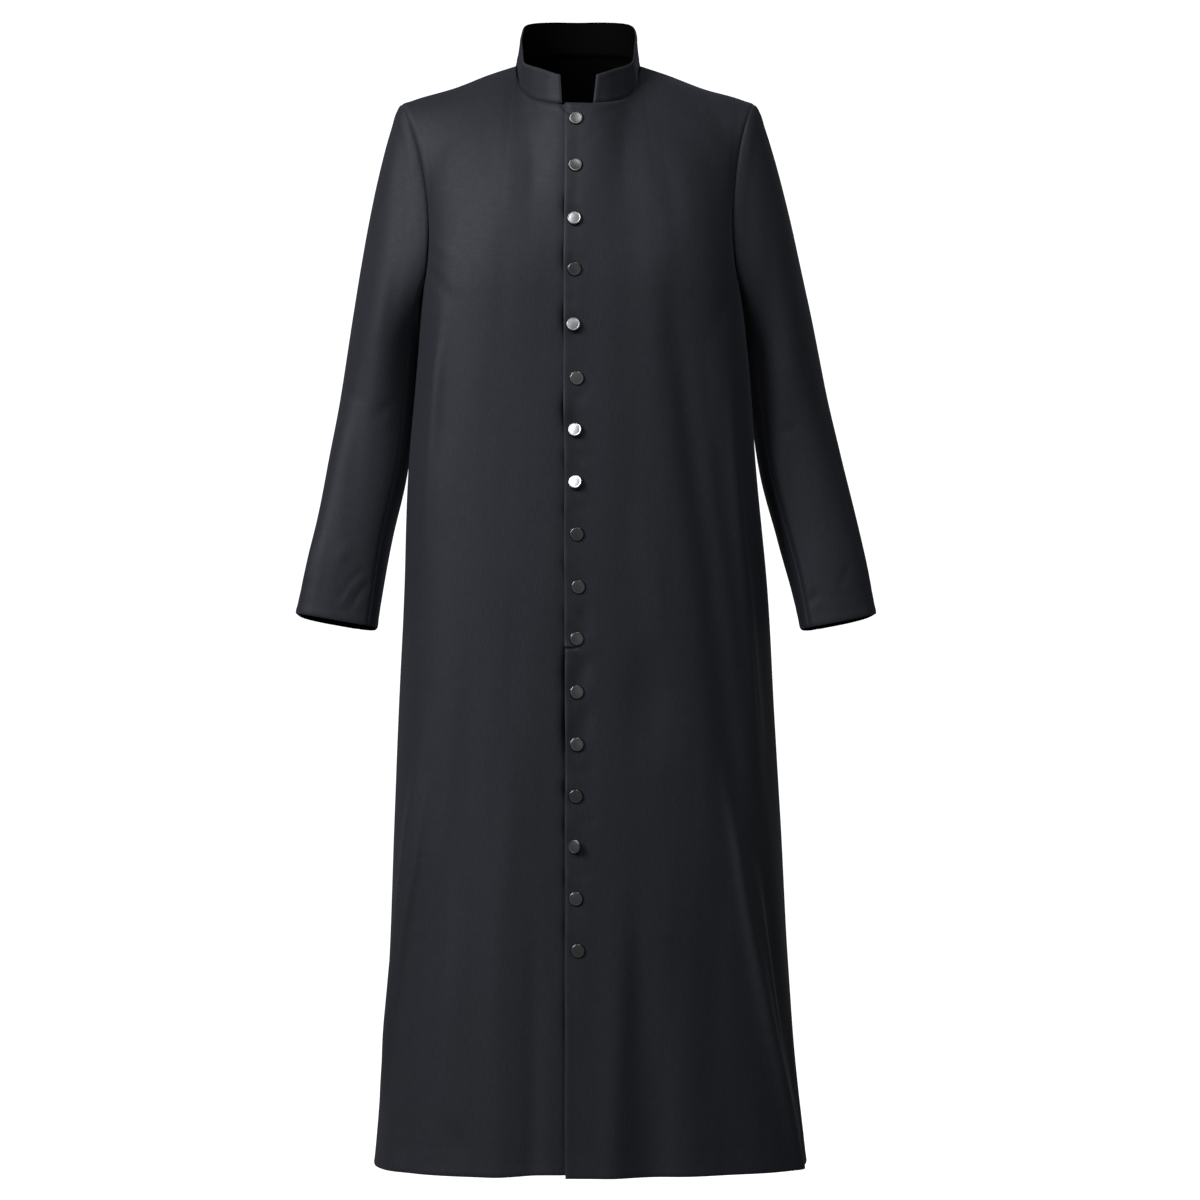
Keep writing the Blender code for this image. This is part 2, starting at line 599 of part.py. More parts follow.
def sleeve_panel(name, side, stations, mat, collection):
    levels = np.concatenate([np.array(HEAD_LEVELS), np.linspace(1.0, 2.0, SLEEVE_ROWS + 1)[1:]])
    w = np.array(stations)
    level = np.repeat(levels[:, None], len(w), axis=1)
    ww = np.repeat(w[None, :], len(levels), axis=0)
    # half a gap back from the forearm and hind seams, less where the head is widest
    gap = (SEAM / 2) / np.where(levels < 1.0, 0.60 - 0.24 * levels, 0.36 - 0.06 * (levels - 1.0))
    ww[:, 0] += gap
    ww[:, -1] -= gap
    point = sleeve(ww, level, side)
    face = sleeve_normal(ww, np.clip(level, 0.02, 1.998), side)
    inward = face.copy()
    inward[0] = mitre(ww[0] % 1.0, side)
    # the head starts one seam gap out from the body's edge
    ahead, _ = armhole_point((ww[0] + 0.004) % 1.0, side)
    behind, _ = armhole_point((ww[0] - 0.004) % 1.0, side)
    out = unit(np.cross(ahead - behind, inward[0])) * side
    point[0] = point[0] + out * SEAM
    inner_skin = point - inward * CLOTH
    if side < 0:
        point, inner_skin = point[:, ::-1], inner_skin[:, ::-1]
    return cloth_piece(name, point, inner_skin, mat, collection)


def collar_grid(rows):
    """Plan angles of the band's columns, a row for each share of its height."""
    half = np.array((NOTCH_DEG,) + NECK_FRONT_STATIONS + NECK_BACK_STATIONS[1:])
    grid = []
    for k in rows:
        plus, minus = half.copy(), half.copy()
        plus[0] += (NOTCH_TOP_PLUS_DEG - NOTCH_DEG) * k
        minus[0] += (NOTCH_TOP_MINUS_DEG - NOTCH_DEG) * k
        grid.append(np.concatenate([plus, -minus[-2::-1]]))
    return np.array(grid)


def collar_point(plan, k):
    plan = np.asarray(plan, dtype=float)
    mag = np.abs(plan)
    fore = np.radians(pick(NECK, NECK_COLUMNS, "angle", "lean_forward", mag, True))
    inn = np.radians(pick(NECK, NECK_COLUMNS, "angle", "lean_in", mag, True))
    band = pick(NECK, NECK_COLUMNS, "angle", "band", mag, True)
    way = unit(vec(-np.sign(plan) * np.sin(inn) * np.sin(np.radians(mag)), -np.sin(fore),
                   np.cos(fore) * np.cos(inn)))
    return neck_seam(plan) + way * (SEAM * 1.5 + (band - SEAM) * k)[..., None]


def collar(name, mat, collection):
    rows = np.array([0.0, 0.5, 1.0])
    plan = collar_grid(rows)
    level = np.repeat(rows[:, None], plan.shape[1], axis=1)
    point = collar_point(plan, level)
    ahead = collar_point(plan + 0.5, level) - collar_point(plan - 0.5, level)
    ahead = np.where((np.abs(plan) > 179.0)[..., None], vec(-1.0, 0.0, 0.0), ahead)
    up = collar_point(plan, level + 0.02) - collar_point(plan, level - 0.02)
    face = unit(np.cross(ahead, up))
    return cloth_piece(name, point, point - face * CLOTH, mat, collection)


# ------------------------------------------------------------ snap caps
def snap_mesh(name, mat):
    """Low domed metal cap with a thin raised rim, turned about Z."""
    r, h = SNAP_RADIUS, SNAP_HEIGHT
    profile = ((0.0, h * 0.86), (r * 0.45, h * 0.80), (r * 0.78, h * 0.66), (r * 0.88, h * 0.82),
               (r * 0.99, h * 0.48), (r * 0.93, 0.0), (0.0, 0.0))
    mesh = bpy.data.meshes.new(name + "_profile")
    mesh.from_pydata([(x, 0.0, z) for x, z in profile], [(i, i + 1) for i in range(len(profile) - 1)], [])
    obj = bpy.data.objects.new(name + "_profile", mesh)
    bpy.context.scene.collection.objects.link(obj)
    turn = obj.modifiers.new("turn", "SCREW")
    turn.axis = "Z"
    turn.angle = math.tau
    turn.steps = turn.render_steps = 10
    turn.use_merge_vertices = True
    turn.merge_threshold = 0.00001
    turn.use_smooth_shade = True
    bpy.context.view_layer.update()
    done = bpy.data.meshes.new_from_object(obj.evaluated_get(bpy.context.evaluated_depsgraph_get()))
    bpy.data.objects.remove(obj)
    bpy.data.meshes.remove(mesh)
    done.name = name
    bm = bmesh.new()
    bm.from_mesh(done)
    bmesh.ops.remove_doubles(bm, verts=bm.verts[:], dist=0.00001)
    bmesh.ops.triangulate(bm, faces=bm.faces[:])
    if bm.calc_volume(signed=True) < 0:
        bmesh.ops.reverse_faces(bm, faces=bm.faces[:])
    bm.to_mesh(done)
    bm.free()
    done.set_sharp_from_angle(angle=math.radians(50))
    done.materials.clear()
    done.materials.append(mat)
    return done


def seat_snaps(front, mesh, collection):
    """Set the caps on the lapping front, square to the cloth under them."""
    data = front.data
    tree = BVHTree.FromPolygons([v.co.copy() for v in data.vertices],
                                [tuple(p.vertices) for p in data.polygons])
    for i, row in enumerate(SNAPS):
        x, z = row
        hits = []
        for k in range(9):
            reach = SNAP_RADIUS if k else 0.0
            a = math.tau * k / 8
            start = Vector((x + reach * math.cos(a), -1.0, z + reach * math.sin(a)))
            hit, normal, _, _ = tree.ray_cast(start, Vector((0, 1, 0)))
            hits.append((hit, normal))
        normal = sum((n for _, n in hits), Vector()).normalized()
        centre = hits[0][0]
        proud = max((h - centre).dot(normal) for h, _ in hits)
        cap = bpy.data.objects.new(f"snap_{i + 1:02d}", mesh)
        turn = normal.to_track_quat("Z", "Y")
        cap.matrix_world = Matrix.Translation(centre + normal * (max(proud, 0.0) + SEAM)) @ turn.to_matrix().to_4x4()
        collection.objects.link(cap)


# ------------------------------------------------------------ build
def main():
    for obj in list(bpy.data.objects):
        bpy.data.objects.remove(obj)
    garment = bpy.data.collections.new("cassock")
    bpy.context.scene.collection.children.link(garment)

    cloth = {
        "front_left": material("cloth_front_left", (0.020, 0.021, 0.025), 0.48, 0.0),
        "front_right": material("cloth_front_right", (0.021, 0.022, 0.026), 0.48, 0.0),
        "back": material("cloth_back", (0.020, 0.021, 0.025), 0.50, 0.0),
        "sleeve_left_upper": material("cloth_sleeve_left_upper", (0.020, 0.021, 0.025), 0.48, 0.0),
        "sleeve_left_under": material("cloth_sleeve_left_under", (0.019, 0.020, 0.024), 0.50, 0.0),
        "sleeve_right_upper": material("cloth_sleeve_right_upper", (0.020, 0.021, 0.025), 0.48, 0.0),
        "sleeve_right_under": material("cloth_sleeve_right_under", (0.019, 0.020, 0.024), 0.50, 0.0),
        "collar": material("cloth_collar", (0.018, 0.019, 0.023), 0.52, 0.0),
    }
    metal = material("snap_metal", (0.30, 0.30, 0.31), 0.30, 1.0)

    left = front_panel("front_left", 1, cloth["front_left"], garment)
    front_panel("front_right", -1, cloth["front_right"], garment)
    back_panel("back", cloth["back"], garment)
    turn = FRONT_STATIONS[:-1] + BACK_STATIONS[::-1]          # once round, from the underarm
    upper = [w for w in turn if FOREARM_W <= w <= HIND_W]
    under = [w - 1.0 for w in turn if w >= HIND_W] + [0.0] + [w for w in turn if w <= FOREARM_W]
    for side, word in ((1, "left"), (-1, "right")):
        sleeve_panel(f"sleeve_{word}_upper", side, upper, cloth[f"sleeve_{word}_upper"], garment)
        sleeve_panel(f"sleeve_{word}_under", side, under, cloth[f"sleeve_{word}_under"], garment)
    collar("collar", cloth["collar"], garment)
    seat_snaps(left, snap_mesh("snap_cap", metal), garment)


main()
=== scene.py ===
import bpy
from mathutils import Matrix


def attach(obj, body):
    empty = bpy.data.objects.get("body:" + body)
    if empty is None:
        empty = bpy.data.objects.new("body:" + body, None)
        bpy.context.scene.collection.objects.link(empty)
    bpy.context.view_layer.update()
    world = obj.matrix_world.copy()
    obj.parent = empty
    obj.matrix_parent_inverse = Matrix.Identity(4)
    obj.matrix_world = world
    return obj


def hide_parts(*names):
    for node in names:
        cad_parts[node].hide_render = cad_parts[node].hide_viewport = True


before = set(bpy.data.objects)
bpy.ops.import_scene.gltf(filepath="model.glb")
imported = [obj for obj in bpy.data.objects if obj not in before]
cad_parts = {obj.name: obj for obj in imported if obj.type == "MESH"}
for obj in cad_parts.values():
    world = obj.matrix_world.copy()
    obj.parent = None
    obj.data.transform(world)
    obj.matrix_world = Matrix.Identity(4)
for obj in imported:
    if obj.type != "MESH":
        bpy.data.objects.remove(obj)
"""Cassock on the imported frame: fine cloth shells over the solids' form, with
seams, folds, hems and snap caps.  Metres, +Z up, the front faces -Y, +X is
the wearer's left.  Angles run in degrees from the centre front, positive
towards +X."""

import math

import bmesh
import bpy
import numpy as np
from mathutils import Matrix, Vector
from mathutils.bvhtree import BVHTree

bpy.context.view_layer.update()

# ------------------------------------------------------------ driving sizes
CLOTH = 0.0012            # wall of the fine cloth
SEAM = 0.0003             # gap between two pieces at a seam
LAP_LIFT = 0.0018         # the left front lies this far out over the right one
LAP_EDGE_X = -0.0160      # front edge of the left front
UNDERLAP_X = 0.0220       # hidden front edge of the right front
LAP_RAMP_X = 0.0800       # where the lift of the left front has died out
UNDER_HEM_LIFT = 0.0040   # the right front hangs this much shorter at the closing
UNDERARM_Z = -0.300       # level of the armhole's lowest point
SIDE_SEAM_DEG = 84.0      # side seam down the skirt
UNDERARM_DEG = 94.0       # where it ends at the underarm
NECK_DEG = 26.0           # ring angle whose line runs up to the neck point
CATCH_LEVEL = 0.5952      # where the lapping edge is caught, under the eleventh snap
CAP_RADIUS = 0.0083
CAP_HEIGHT = 0.0030

SECTION_COLUMNS = ("z", "half_minus_x", "half_plus_x", "side_y", "front", "back", "square")
SECTIONS = (
    (-1.400, 0.2582, 0.2912, -0.002, 0.156, 0.168, 0.035),
    (-1.270, 0.2470, 0.2755, -0.003, 0.152, 0.163, 0.037),
    (-1.130, 0.2385, 0.2645, -0.004, 0.148, 0.157, 0.040),
    (-0.980, 0.2330, 0.2570, -0.005, 0.143, 0.149, 0.042),
    (-0.830, 0.2268, 0.2486, -0.008, 0.137, 0.142, 0.045),
    (-0.680, 0.2192, 0.2404, -0.013, 0.129, 0.139, 0.048),
    (-0.518, 0.2134, 0.2250, -0.019, 0.119, 0.133, 0.050),
    (-0.400, 0.2040, 0.2170, -0.022, 0.114, 0.140, 0.050),
    (-0.300, 0.1965, 0.2070, -0.020, 0.114, 0.147, 0.050),
)
HEM_COLUMNS = ("angle", "z")
HEM = ((0.0, -1.3925), (40.0, -1.3930), (90.0, -1.3975), (180.0, -1.4000))
NECK_COLUMNS = ("angle", "seam_z", "band", "lean_forward", "lean_in")
NECK = (
    (0.0, -0.0640, 0.0350, -7.0, 0.0),
    (30.0, -0.0612, 0.0375, -3.0, 4.0),
    (60.0, -0.0445, 0.0375, 9.0, 5.0),
    (75.0, -0.0250, 0.0355, 20.0, 6.0),
    (90.0, -0.0025, 0.0340, 24.0, 6.0),
    (120.0, 0.0115, 0.0400, 8.0, 5.0),
    (150.0, 0.0180, 0.0420, -2.0, 3.0),
    (180.0, 0.0195, 0.0425, -4.0, 2.0),
)
NECK_HALF = 0.0790
NECK_SIDE_Y = 0.0120
NECK_FRONT = 0.1000
NECK_BACK = 0.0600
NOTCH_DEG = 14.4
NOTCH_TOP_MINUS_DEG = 16.4
NOTCH_TOP_PLUS_DEG = 17.9
SHOULDER_COLUMNS = ("along", "x", "y", "z")
SHOULDER = (
    (0.00, 0.0790, 0.012, -0.0025),
    (0.25, 0.1130, 0.012, -0.0140),
    (0.55, 0.1600, 0.011, -0.0325),
    (0.80, 0.2010, 0.009, -0.0444),
    (1.00, 0.2270, 0.008, -0.0538),
)
RISE_COLUMNS = ("angle", "elevation", "pull")
RISE_FRONT = ((0.0, 64.0, 0.90), (13.0, 52.0, 0.85), (26.0, 30.0, 0.80), (55.0, 15.0, 0.75), (90.0, 6.0, 0.70))
RISE_BACK = ((90.0, -6.0, 0.70), (125.0, -6.0, 0.65), (154.0, 10.0, 0.60), (167.0, 40.0, 0.65), (180.0, 62.0, 0.75))
ARMHOLE_COLUMNS = ("w", "angle", "level")
ARMHOLE = (
    (0.000, 94.0, 0.000), (0.035, 86.5, 0.010), (0.080, 78.5, 0.045), (0.130, 73.5, 0.105),
    (0.190, 71.5, 0.200), (0.260, 73.0, 0.340), (0.340, 78.5, 0.540), (0.420, 84.5, 0.765),
    (0.500, 90.0, 1.000), (0.580, 96.5, 0.765), (0.660, 103.0, 0.540), (0.740, 108.0, 0.350),
    (0.810, 109.5, 0.215), (0.875, 108.5, 0.115), (0.930, 105.5, 0.045), (0.970, 100.5, 0.010),
    (1.000, 94.0, 0.000),
)
SLEEVE_COLUMNS = ("z", "x_minus", "x_plus", "y", "half_minus", "half_plus", "depth")
SLEEVE = (
    (-0.375, -0.2482, 0.2602, 0.031, 0.0468, 0.0473, 0.0770),
    (-0.445, -0.2570, 0.2715, 0.030, 0.0490, 0.0500, 0.0710),
    (-0.518, -0.2686, 0.2850, 0.023, 0.0503, 0.0525, 0.0640),
    (-0.590, -0.2835, 0.3030, 0.013, 0.0488, 0.0515, 0.0580),
    (-0.655, -0.2967, 0.3190, 0.002, 0.0508, 0.0500, 0.0520),
    (-0.7090, -0.3065, 0.3300, -0.007, 0.0525, 0.0490, 0.0460),
)
HEAD_COLUMNS = ("w", "outward", "forward", "down", "pull")
HEAD = (
    (0.00, 0.32, -0.25, 0.92, 0.8),
    (0.12, 0.45, 0.15, 0.88, 0.9),
    (0.25, 0.66, 0.10, 0.74, 1.0),
    (0.40, 0.52, 0.04, 0.85, 0.8),
    (0.50, 0.40, 0.00, 0.92, 0.7),
    (0.60, 0.52, -0.06, 0.85, 0.8),
    (0.75, 0.66, -0.30, 0.72, 1.0),
    (0.88, 0.45, -0.45, 0.85, 0.9),
    (1.00, 0.32, -0.25, 0.92, 0.8),
)
CUFF_HANG_MINUS = 0.0062  # how much lower the front of the cuff hangs than its back, at -X
CUFF_HANG_PLUS = 0.0085   # and at +X
FOREARM_W = 0.12
HIND_W = 0.82
FOLD_COLUMNS = ("z_top", "angle_top", "z_low", "angle_low", "width", "depth")
FOLDS = (
    (-0.22, 26.0, -1.02, 49.0, 6.5, -0.0070),
    (-0.36, 54.0, -0.90, 60.0, 5.5, 0.0040),
    (-0.84, 41.0, -1.42, 70.0, 6.5, 0.0080),
    (-0.92, 54.0, -1.42, 82.0, 6.5, -0.0050),
    (-1.02, 14.0, -1.48, 16.0, 5.0, -0.0045),
    (-0.30, -50.0, -0.62, -56.0, 5.0, 0.0045),
    (-0.80, -48.0, -1.30, -78.0, 6.5, 0.0075),
    (-0.95, -38.0, -1.45, -54.0, 6.5, -0.0045),
    (-0.70, 128.0, -1.50, 124.0, 7.0, 0.0110),
    (-0.62, 150.0, -1.50, 146.0, 7.0, -0.0100),
    (-0.74, 171.0, -1.50, 168.0, 7.0, 0.0090),
    (-0.66, -160.0, -1.50, -166.0, 7.0, -0.0080),
    (-0.58, -138.0, -1.50, -141.0, 7.0, 0.0110),
    (-0.80, -116.0, -1.50, -117.0, 6.0, -0.0070),
)
SNAPS = (
    (-0.0018, -0.0845), (-0.0025, -0.1445), (-0.0035, -0.2120), (-0.0035, -0.2752),
    (-0.0050, -0.3435), (-0.0005, -0.4098), (-0.0030, -0.4735), (-0.0025, -0.5378),
    (-0.0005, -0.6022), (0.0012, -0.6670), (-0.0005, -0.7307), (-0.0005, -0.7962),
    (-0.0005, -0.8605), (-0.0017, -0.9243), (-0.0030, -0.9858), (-0.0017, -1.0500),
    (0.0008, -1.1137),
)

# ------------------------------------------------------------ the small creases
# They are laid down in the front view, seen from 4.5 m: "across" to the right
# and "down", in steps of 1.27 mm at the plane through the origin.  A stroke is
# a line of points, each with its half width in the same steps and its height
# in millimetres (+ out of the cloth, - into it).
VIEW_X, VIEW_Y, VIEW_Z, STEP = 0.028, 4.5, -0.683, 0.00127
BODY_STROKES = (
    # the long trough down the +X front and what runs beside it
    ((672, 230, 16, 0.0), (694, 330, 20, -3.4), (716, 430, 24, -7.6), (737, 531, 25, -9.4), (756, 637, 24, -9.0), (768, 740, 21, -6.4), (772, 850, 16, 0.0)),
    ((712, 330, 8, 0.0), (728, 440, 9, 1.0), (744, 560, 9, 1.6), (757, 680, 8, 1.4), (764, 790, 8, 0.0)),
    ((650, 635, 16, 0.0), (650, 700, 22, -3.7), (655, 770, 18, 0.0)),
    ((640, 500, 12, 0.0), (652, 570, 13, 1.5), (668, 640, 12, 0.0)),
    # fullness of the chest and flatter cloth beside the armholes
    ((652, 106, 30, 0.0), (668, 150, 44, 4.2), (676, 205, 48, 6.0), (672, 280, 44, 4.2), (662, 360, 34, 0.0)),
    ((576, 94, 34, 0.0), (576, 130, 38, -2.6), (576, 180, 40, -2.8), (576, 250, 38, -1.2), (576, 320, 34, 0.0)),
    ((550, 350, 22, 0.0), (550, 430, 26, 2.2), (551, 520, 26, 2.2), (552, 600, 24, 1.4), (552, 660, 20, 0.0)),
    ((628, 98, 18, 0.0), (634, 130, 23, 3.0), (638, 170, 25, 3.0), (640, 235, 22, 0.0)),
    ((526, 98, 18, 0.0), (520, 130, 23, 2.8), (516, 170, 25, 2.8), (512, 235, 22, 0.0)),
    ((446, 150, 16, 0.0), (442, 210, 20, 1.8), (440, 290, 20, 3.4), (440, 370, 18, 1.6), (442, 430, 16, 0.0)),
    ((714, 160, 16, 0.0), (716, 220, 20, 1.2), (718, 290, 20, 1.4), (716, 360, 16, 0.0)),
    # ridge and step beside the closing, low on the skirt
    ((622, 920, 12, 0.0), (620, 1000, 13, 2.6), (617, 1080, 14, 3.6), (612, 1182, 15, 4.2)),
    ((658, 930, 18, 0.0), (660, 1020, 22, -3.4), (660, 1100, 23, -4.4), (660, 1182, 24, -5.0)),
    # flare ridge of the +X front with the hollow behind it
    ((720, 760, 5, 0.0), (733, 825, 5, 2.4), (746, 905, 5, 3.4), (763, 990, 6, 3.9), (781, 1070, 6, 3.7), (797, 1140, 6, 2.7), (804, 1172, 6, 2.0)),
    ((746, 820, 6, 0.0), (759, 905, 7, -2.7), (776, 990, 7, -3.4), (792, 1070, 6, -2.7), (804, 1140, 5, 0.0)),
    ((712, 860, 24, 0.0), (718, 1000, 34, -5.6), (728, 1100, 37, -7.4), (738, 1182, 38, -8.2)),
    # -X front
    ((436, 340, 9, 0.0), (434, 415, 10, 2.5), (437, 480, 10, 1.9), (442, 540, 9, 0.0)),
    ((421, 330, 6, 0.0), (417, 400, 6, -2.4), (415, 470, 6, -1.7), (416, 540, 6, 0.0)),
    ((428, 770, 6, 0.0), (417, 850, 6, 3.6), (404, 925, 6, 4.4), (395, 990, 6, 4.2), (387, 1045, 6, 2.8), (380, 1110, 6, 0.0)),
    ((430, 850, 7, 0.0), (420, 930, 8, -2.9), (411, 1000, 9, -3.2), (404, 1070, 9, -2.2), (400, 1150, 9, -1.4)),
    ((470, 620, 16, 0.0), (468, 740, 18, -1.7), (462, 860, 18, -2.0), (456, 1000, 18, 0.0)),
    ((508, 700, 14, 0.0), (506, 840, 16, 1.9), (500, 980, 16, 2.0), (496, 1178, 18, 2.5)),
    ((446, 1118, 8, 0.0), (456, 1142, 9, -1.5), (462, 1170, 8, 0.0)),
    ((536, 880, 9, 0.0), (534, 990, 10, -1.9), (533, 1100, 10, -2.5), (532, 1178, 11, -3.1)),
    # drags from the shoulders and the chest
    ((500, 112, 10, 0.0), (470, 140, 13, 1.2), (440, 185, 14, 1.0), (425, 230, 12, 0.0)),
    ((556, 118, 8, 0.0), (540, 160, 9, -1.0), (520, 215, 10, 0.0)),
    ((650, 105, 8, 0.0), (690, 118, 11, 1.7), (718, 150, 13, 2.0), (728, 200, 11, 0.0)),
    ((655, 140, 9, 0.0), (668, 190, 11, -1.5), (672, 250, 11, 0.0)),
    ((733, 250, 7, 0.0), (726, 300, 9, -1.5), (712, 350, 9, 0.0)),
    # small folds that start at the armholes
    ((427, 262, 4, 0.0), (440, 282, 6, -1.2), (458, 310, 7, 0.0)),
    ((426, 236, 4, 0.0), (444, 250, 6, 1.0), (468, 268, 8, 0.0)),
    # slack between the snaps, on the lapping edge
    ((600, 128, 5, 0.0), (588, 139, 5, -0.8), (572, 143, 5, -0.5), (567, 144, 4, 0.0)),
    ((572, 186, 4, 0.0), (573, 196, 5, -0.7), (574, 206, 4, 0.0)),
    ((571, 292, 4, 0.0), (572, 300, 5, -0.7), (574, 310, 4, 0.0)),
    ((596, 380, 5, 0.0), (584, 394, 5, -0.8), (572, 401, 5, -0.6), (567, 404, 4, 0.0)),
    ((598, 452, 5, 0.0), (586, 457, 5, -0.6), (571, 457, 5, -0.5)),
    ((594, 500, 5, 0.0), (584, 507, 5, -0.6), (570, 510, 5, -0.5)),
    ((586, 598, 6, 0.0), (584, 612, 8, -1.5), (587, 626, 8, -1.2), (590, 638, 7, 0.0)),
    ((583, 652, 6, 0.0), (584, 664, 8, -1.7), (582, 678, 8, -1.6), (586, 690, 7, 0.0)),
    ((587, 702, 6, 0.0), (585, 716, 8, -1.6), (583, 732, 8, -1.2), (584, 744, 6, 0.0)),
    ((598, 765, 5, 0.0), (586, 771, 5, -0.6), (570, 772, 4, 0.0)),
    ((600, 818, 5, 0.0), (586, 823, 5, -0.5), (571, 823, 4, 0.0)),
    ((602, 868, 5, 0.0), (588, 874, 5, -0.5), (571, 874, 4, 0.0)),
    # ripples under the neck seam
    ((536, 104, 5, 0.0), (532, 112, 6, -0.6), (526, 124, 6, 0.0)),
    ((550, 104, 4, 0.0), (548, 113, 5, 0.5), (544, 126, 5, 0.0)),
    ((604, 103, 4, 0.0), (608, 112, 5, -0.5), (616, 122, 5, 0.0)),
    ((622, 100, 4, 0.0), (632, 108, 6, 0.6), (646, 116, 6, 0.0)),
)
# crease from the corner of the notch to the first snap, and its faint pair
NOTCH_STROKES = (
    ((558, 99, 2.2, 0.0), (561, 103, 2.2, -2.0), (565.5, 108.5, 2.2, -2.3), (570, 113, 2.1, -1.2), (572, 115, 2.0, 0.0)),
    ((565, 100, 3.2, 0.0), (569.5, 105.5, 3.6, 0.9), (575, 110, 3.2, 0.0)),
    ((593, 100, 2.4, 0.0), (588, 106, 2.6, -0.8), (582, 113, 2.2, 0.0)),
)
# the same kind of fold on the back, laid down in the view from behind
BACK_STROKES = (
    ((470, 150, 14, 0.0), (476, 300, 18, -1.8), (486, 450, 20, -2.6), (492, 620, 20, -1.6), (494, 760, 18, 0.0)),
    ((650, 170, 13, 0.0), (642, 330, 17, 1.6), (634, 480, 18, 2.2), (630, 640, 18, 0.0)),
    ((560, 120, 12, 0.0), (556, 240, 14, 1.4), (560, 380, 16, 1.2), (566, 520, 16, 0.0)),
    ((700, 260, 9, 0.0), (692, 360, 11, -1.8), (682, 480, 12, -1.6), (676, 600, 12, 0.0)),
    ((445, 250, 8, 0.0), (452, 330, 10, 1.6), (460, 430, 11, 1.2), (466, 520, 10, 0.0)),
    ((430, 640, 10, 0.0), (424, 800, 12, -2.2), (416, 980, 13, -2.8), (408, 1190, 14, -3.2)),
    ((478, 700, 12, 0.0), (476, 860, 14, 2.2), (470, 1020, 15, 3.0), (466, 1190, 16, 3.4)),
    ((540, 640, 13, 0.0), (538, 800, 15, -2.0), (534, 980, 16, -2.8), (532, 1190, 17, -3.0)),
    ((604, 720, 12, 0.0), (606, 880, 14, 1.8), (610, 1040, 15, 2.4), (612, 1190, 16, 3.0)),
    ((668, 660, 11, 0.0), (674, 820, 13, -1.9), (682, 1000, 14, -2.6), (688, 1190, 15, -3.0)),
    ((722, 740, 9, 0.0), (738, 880, 11, 1.8), (750, 1030, 12, 2.6), (760, 1190, 13, 2.6)),
    ((520, 96, 8, 0.0), (500, 122, 12, 0.9), (470, 150, 13, 0.0)),
    ((640, 96, 8, 0.0), (664, 124, 12, -0.9), (690, 156, 13, 0.0)),
)
SLEEVE_STROKES = (
    # sleeve at -X
    ((316, 520, 4, 0.0), (312, 550, 4, 1.8), (306, 580, 4, 1.6), (301, 604, 4, 0.0)),
    ((362, 574, 3, 0.0), (354, 582, 3, 1.3), (344, 596, 3, 1.1), (338, 604, 3, 0.0)),
    ((370, 576, 3, 0.0), (362, 588, 3, -1.2), (352, 602, 3, -0.9), (348, 610, 3, 0.0)),
    ((352, 180, 8, 0.0), (350, 240, 10, 0.8), (345, 320, 11, 0.9), (338, 400, 10, 0.0)),
    ((398, 150, 6, 0.0), (400, 210, 7, -1.0), (394, 290, 8, -1.2), (386, 350, 8, 0.0)),
    ((372, 330, 8, 0.0), (362, 400, 10, -1.0), (352, 470, 10, -0.8), (344, 540, 8, 0.0)),
    ((330, 470, 6, 0.0), (322, 530, 7, 1.2), (314, 585, 6, 0.9), (309, 612, 5, 0.0)),
    ((366, 566, 4, 0.0), (356, 577, 4, -1.2), (346, 591, 4, -1.0), (338, 600, 3, 0.0)),
    ((374, 578, 3, 0.0), (370, 585, 3, -1.3), (366, 594, 3, 0.0)),
    ((314, 576, 3, 0.0), (306, 583, 3, -0.9), (300, 591, 3, 0.0)),
    ((350, 540, 5, 0.0), (344, 552, 6, 0.8), (334, 566, 5, 0.0)),
    ((396, 395, 5, 0.0), (384, 410, 6, -0.9), (368, 424, 6, 0.0)),
    ((340, 380, 5, 0.0), (352, 396, 6, -0.7), (368, 404, 6, 0.0)),
    # sleeve at +X
    ((818, 380, 16, 0.0), (832, 430, 20, -3.0), (848, 500, 22, -4.0), (860, 570, 20, -3.4), (866, 612, 16, -2.0)),
    ((775, 190, 7, 0.0), (782, 260, 9, 0.8), (790, 340, 9, 0.9), (800, 410, 8, 0.0)),
    ((770, 440, 7, 0.0), (782, 490, 8, 1.8), (797, 560, 8, 2.2), (812, 612, 7, 1.4), (815, 626, 6, 1.2)),
    ((764, 440, 5, 0.0), (772, 495, 6, -1.6), (787, 560, 6, -1.8), (799, 606, 5, 0.0)),
    ((806, 300, 7, 0.0), (816, 370, 8, -1.0), (826, 440, 8, -0.8), (836, 500, 7, 0.0)),
    ((822, 585, 3, 0.0), (814, 594, 4, -1.1), (806, 604, 3, 0.0)),
    ((852, 560, 4, 0.0), (846, 574, 5, -0.8), (836, 588, 4, 0.0)),
    ((748, 300, 5, 0.0), (757, 340, 6, -1.1), (764, 400, 6, 0.0)),
    ((800, 420, 5, 0.0), (788, 430, 6, -0.8), (774, 436, 5, 0.0)),
)
# where the lapping edge stands off between the snaps: down from, down to, lift
EDGE_SLACK = (
    (188, 222, 1.6), (236, 280, 2.0), (298, 342, 3.1), (388, 434, 3.2), (446, 474, 1.0),
    (496, 526, 0.9), (548, 580, 0.9), (600, 640, 0.9), (640, 706, 3.0), (686, 768, 3.2),
    (776, 804, 1.6), (812, 842, 1.0), (862, 896, 0.8), (915, 946, 0.8), (985, 1060, 0.7),
)


# ------------------------------------------------------------ small helpers
def column(table, names, key):
    k = names.index(key)
    return np.array([row[k] for row in table], dtype=float)


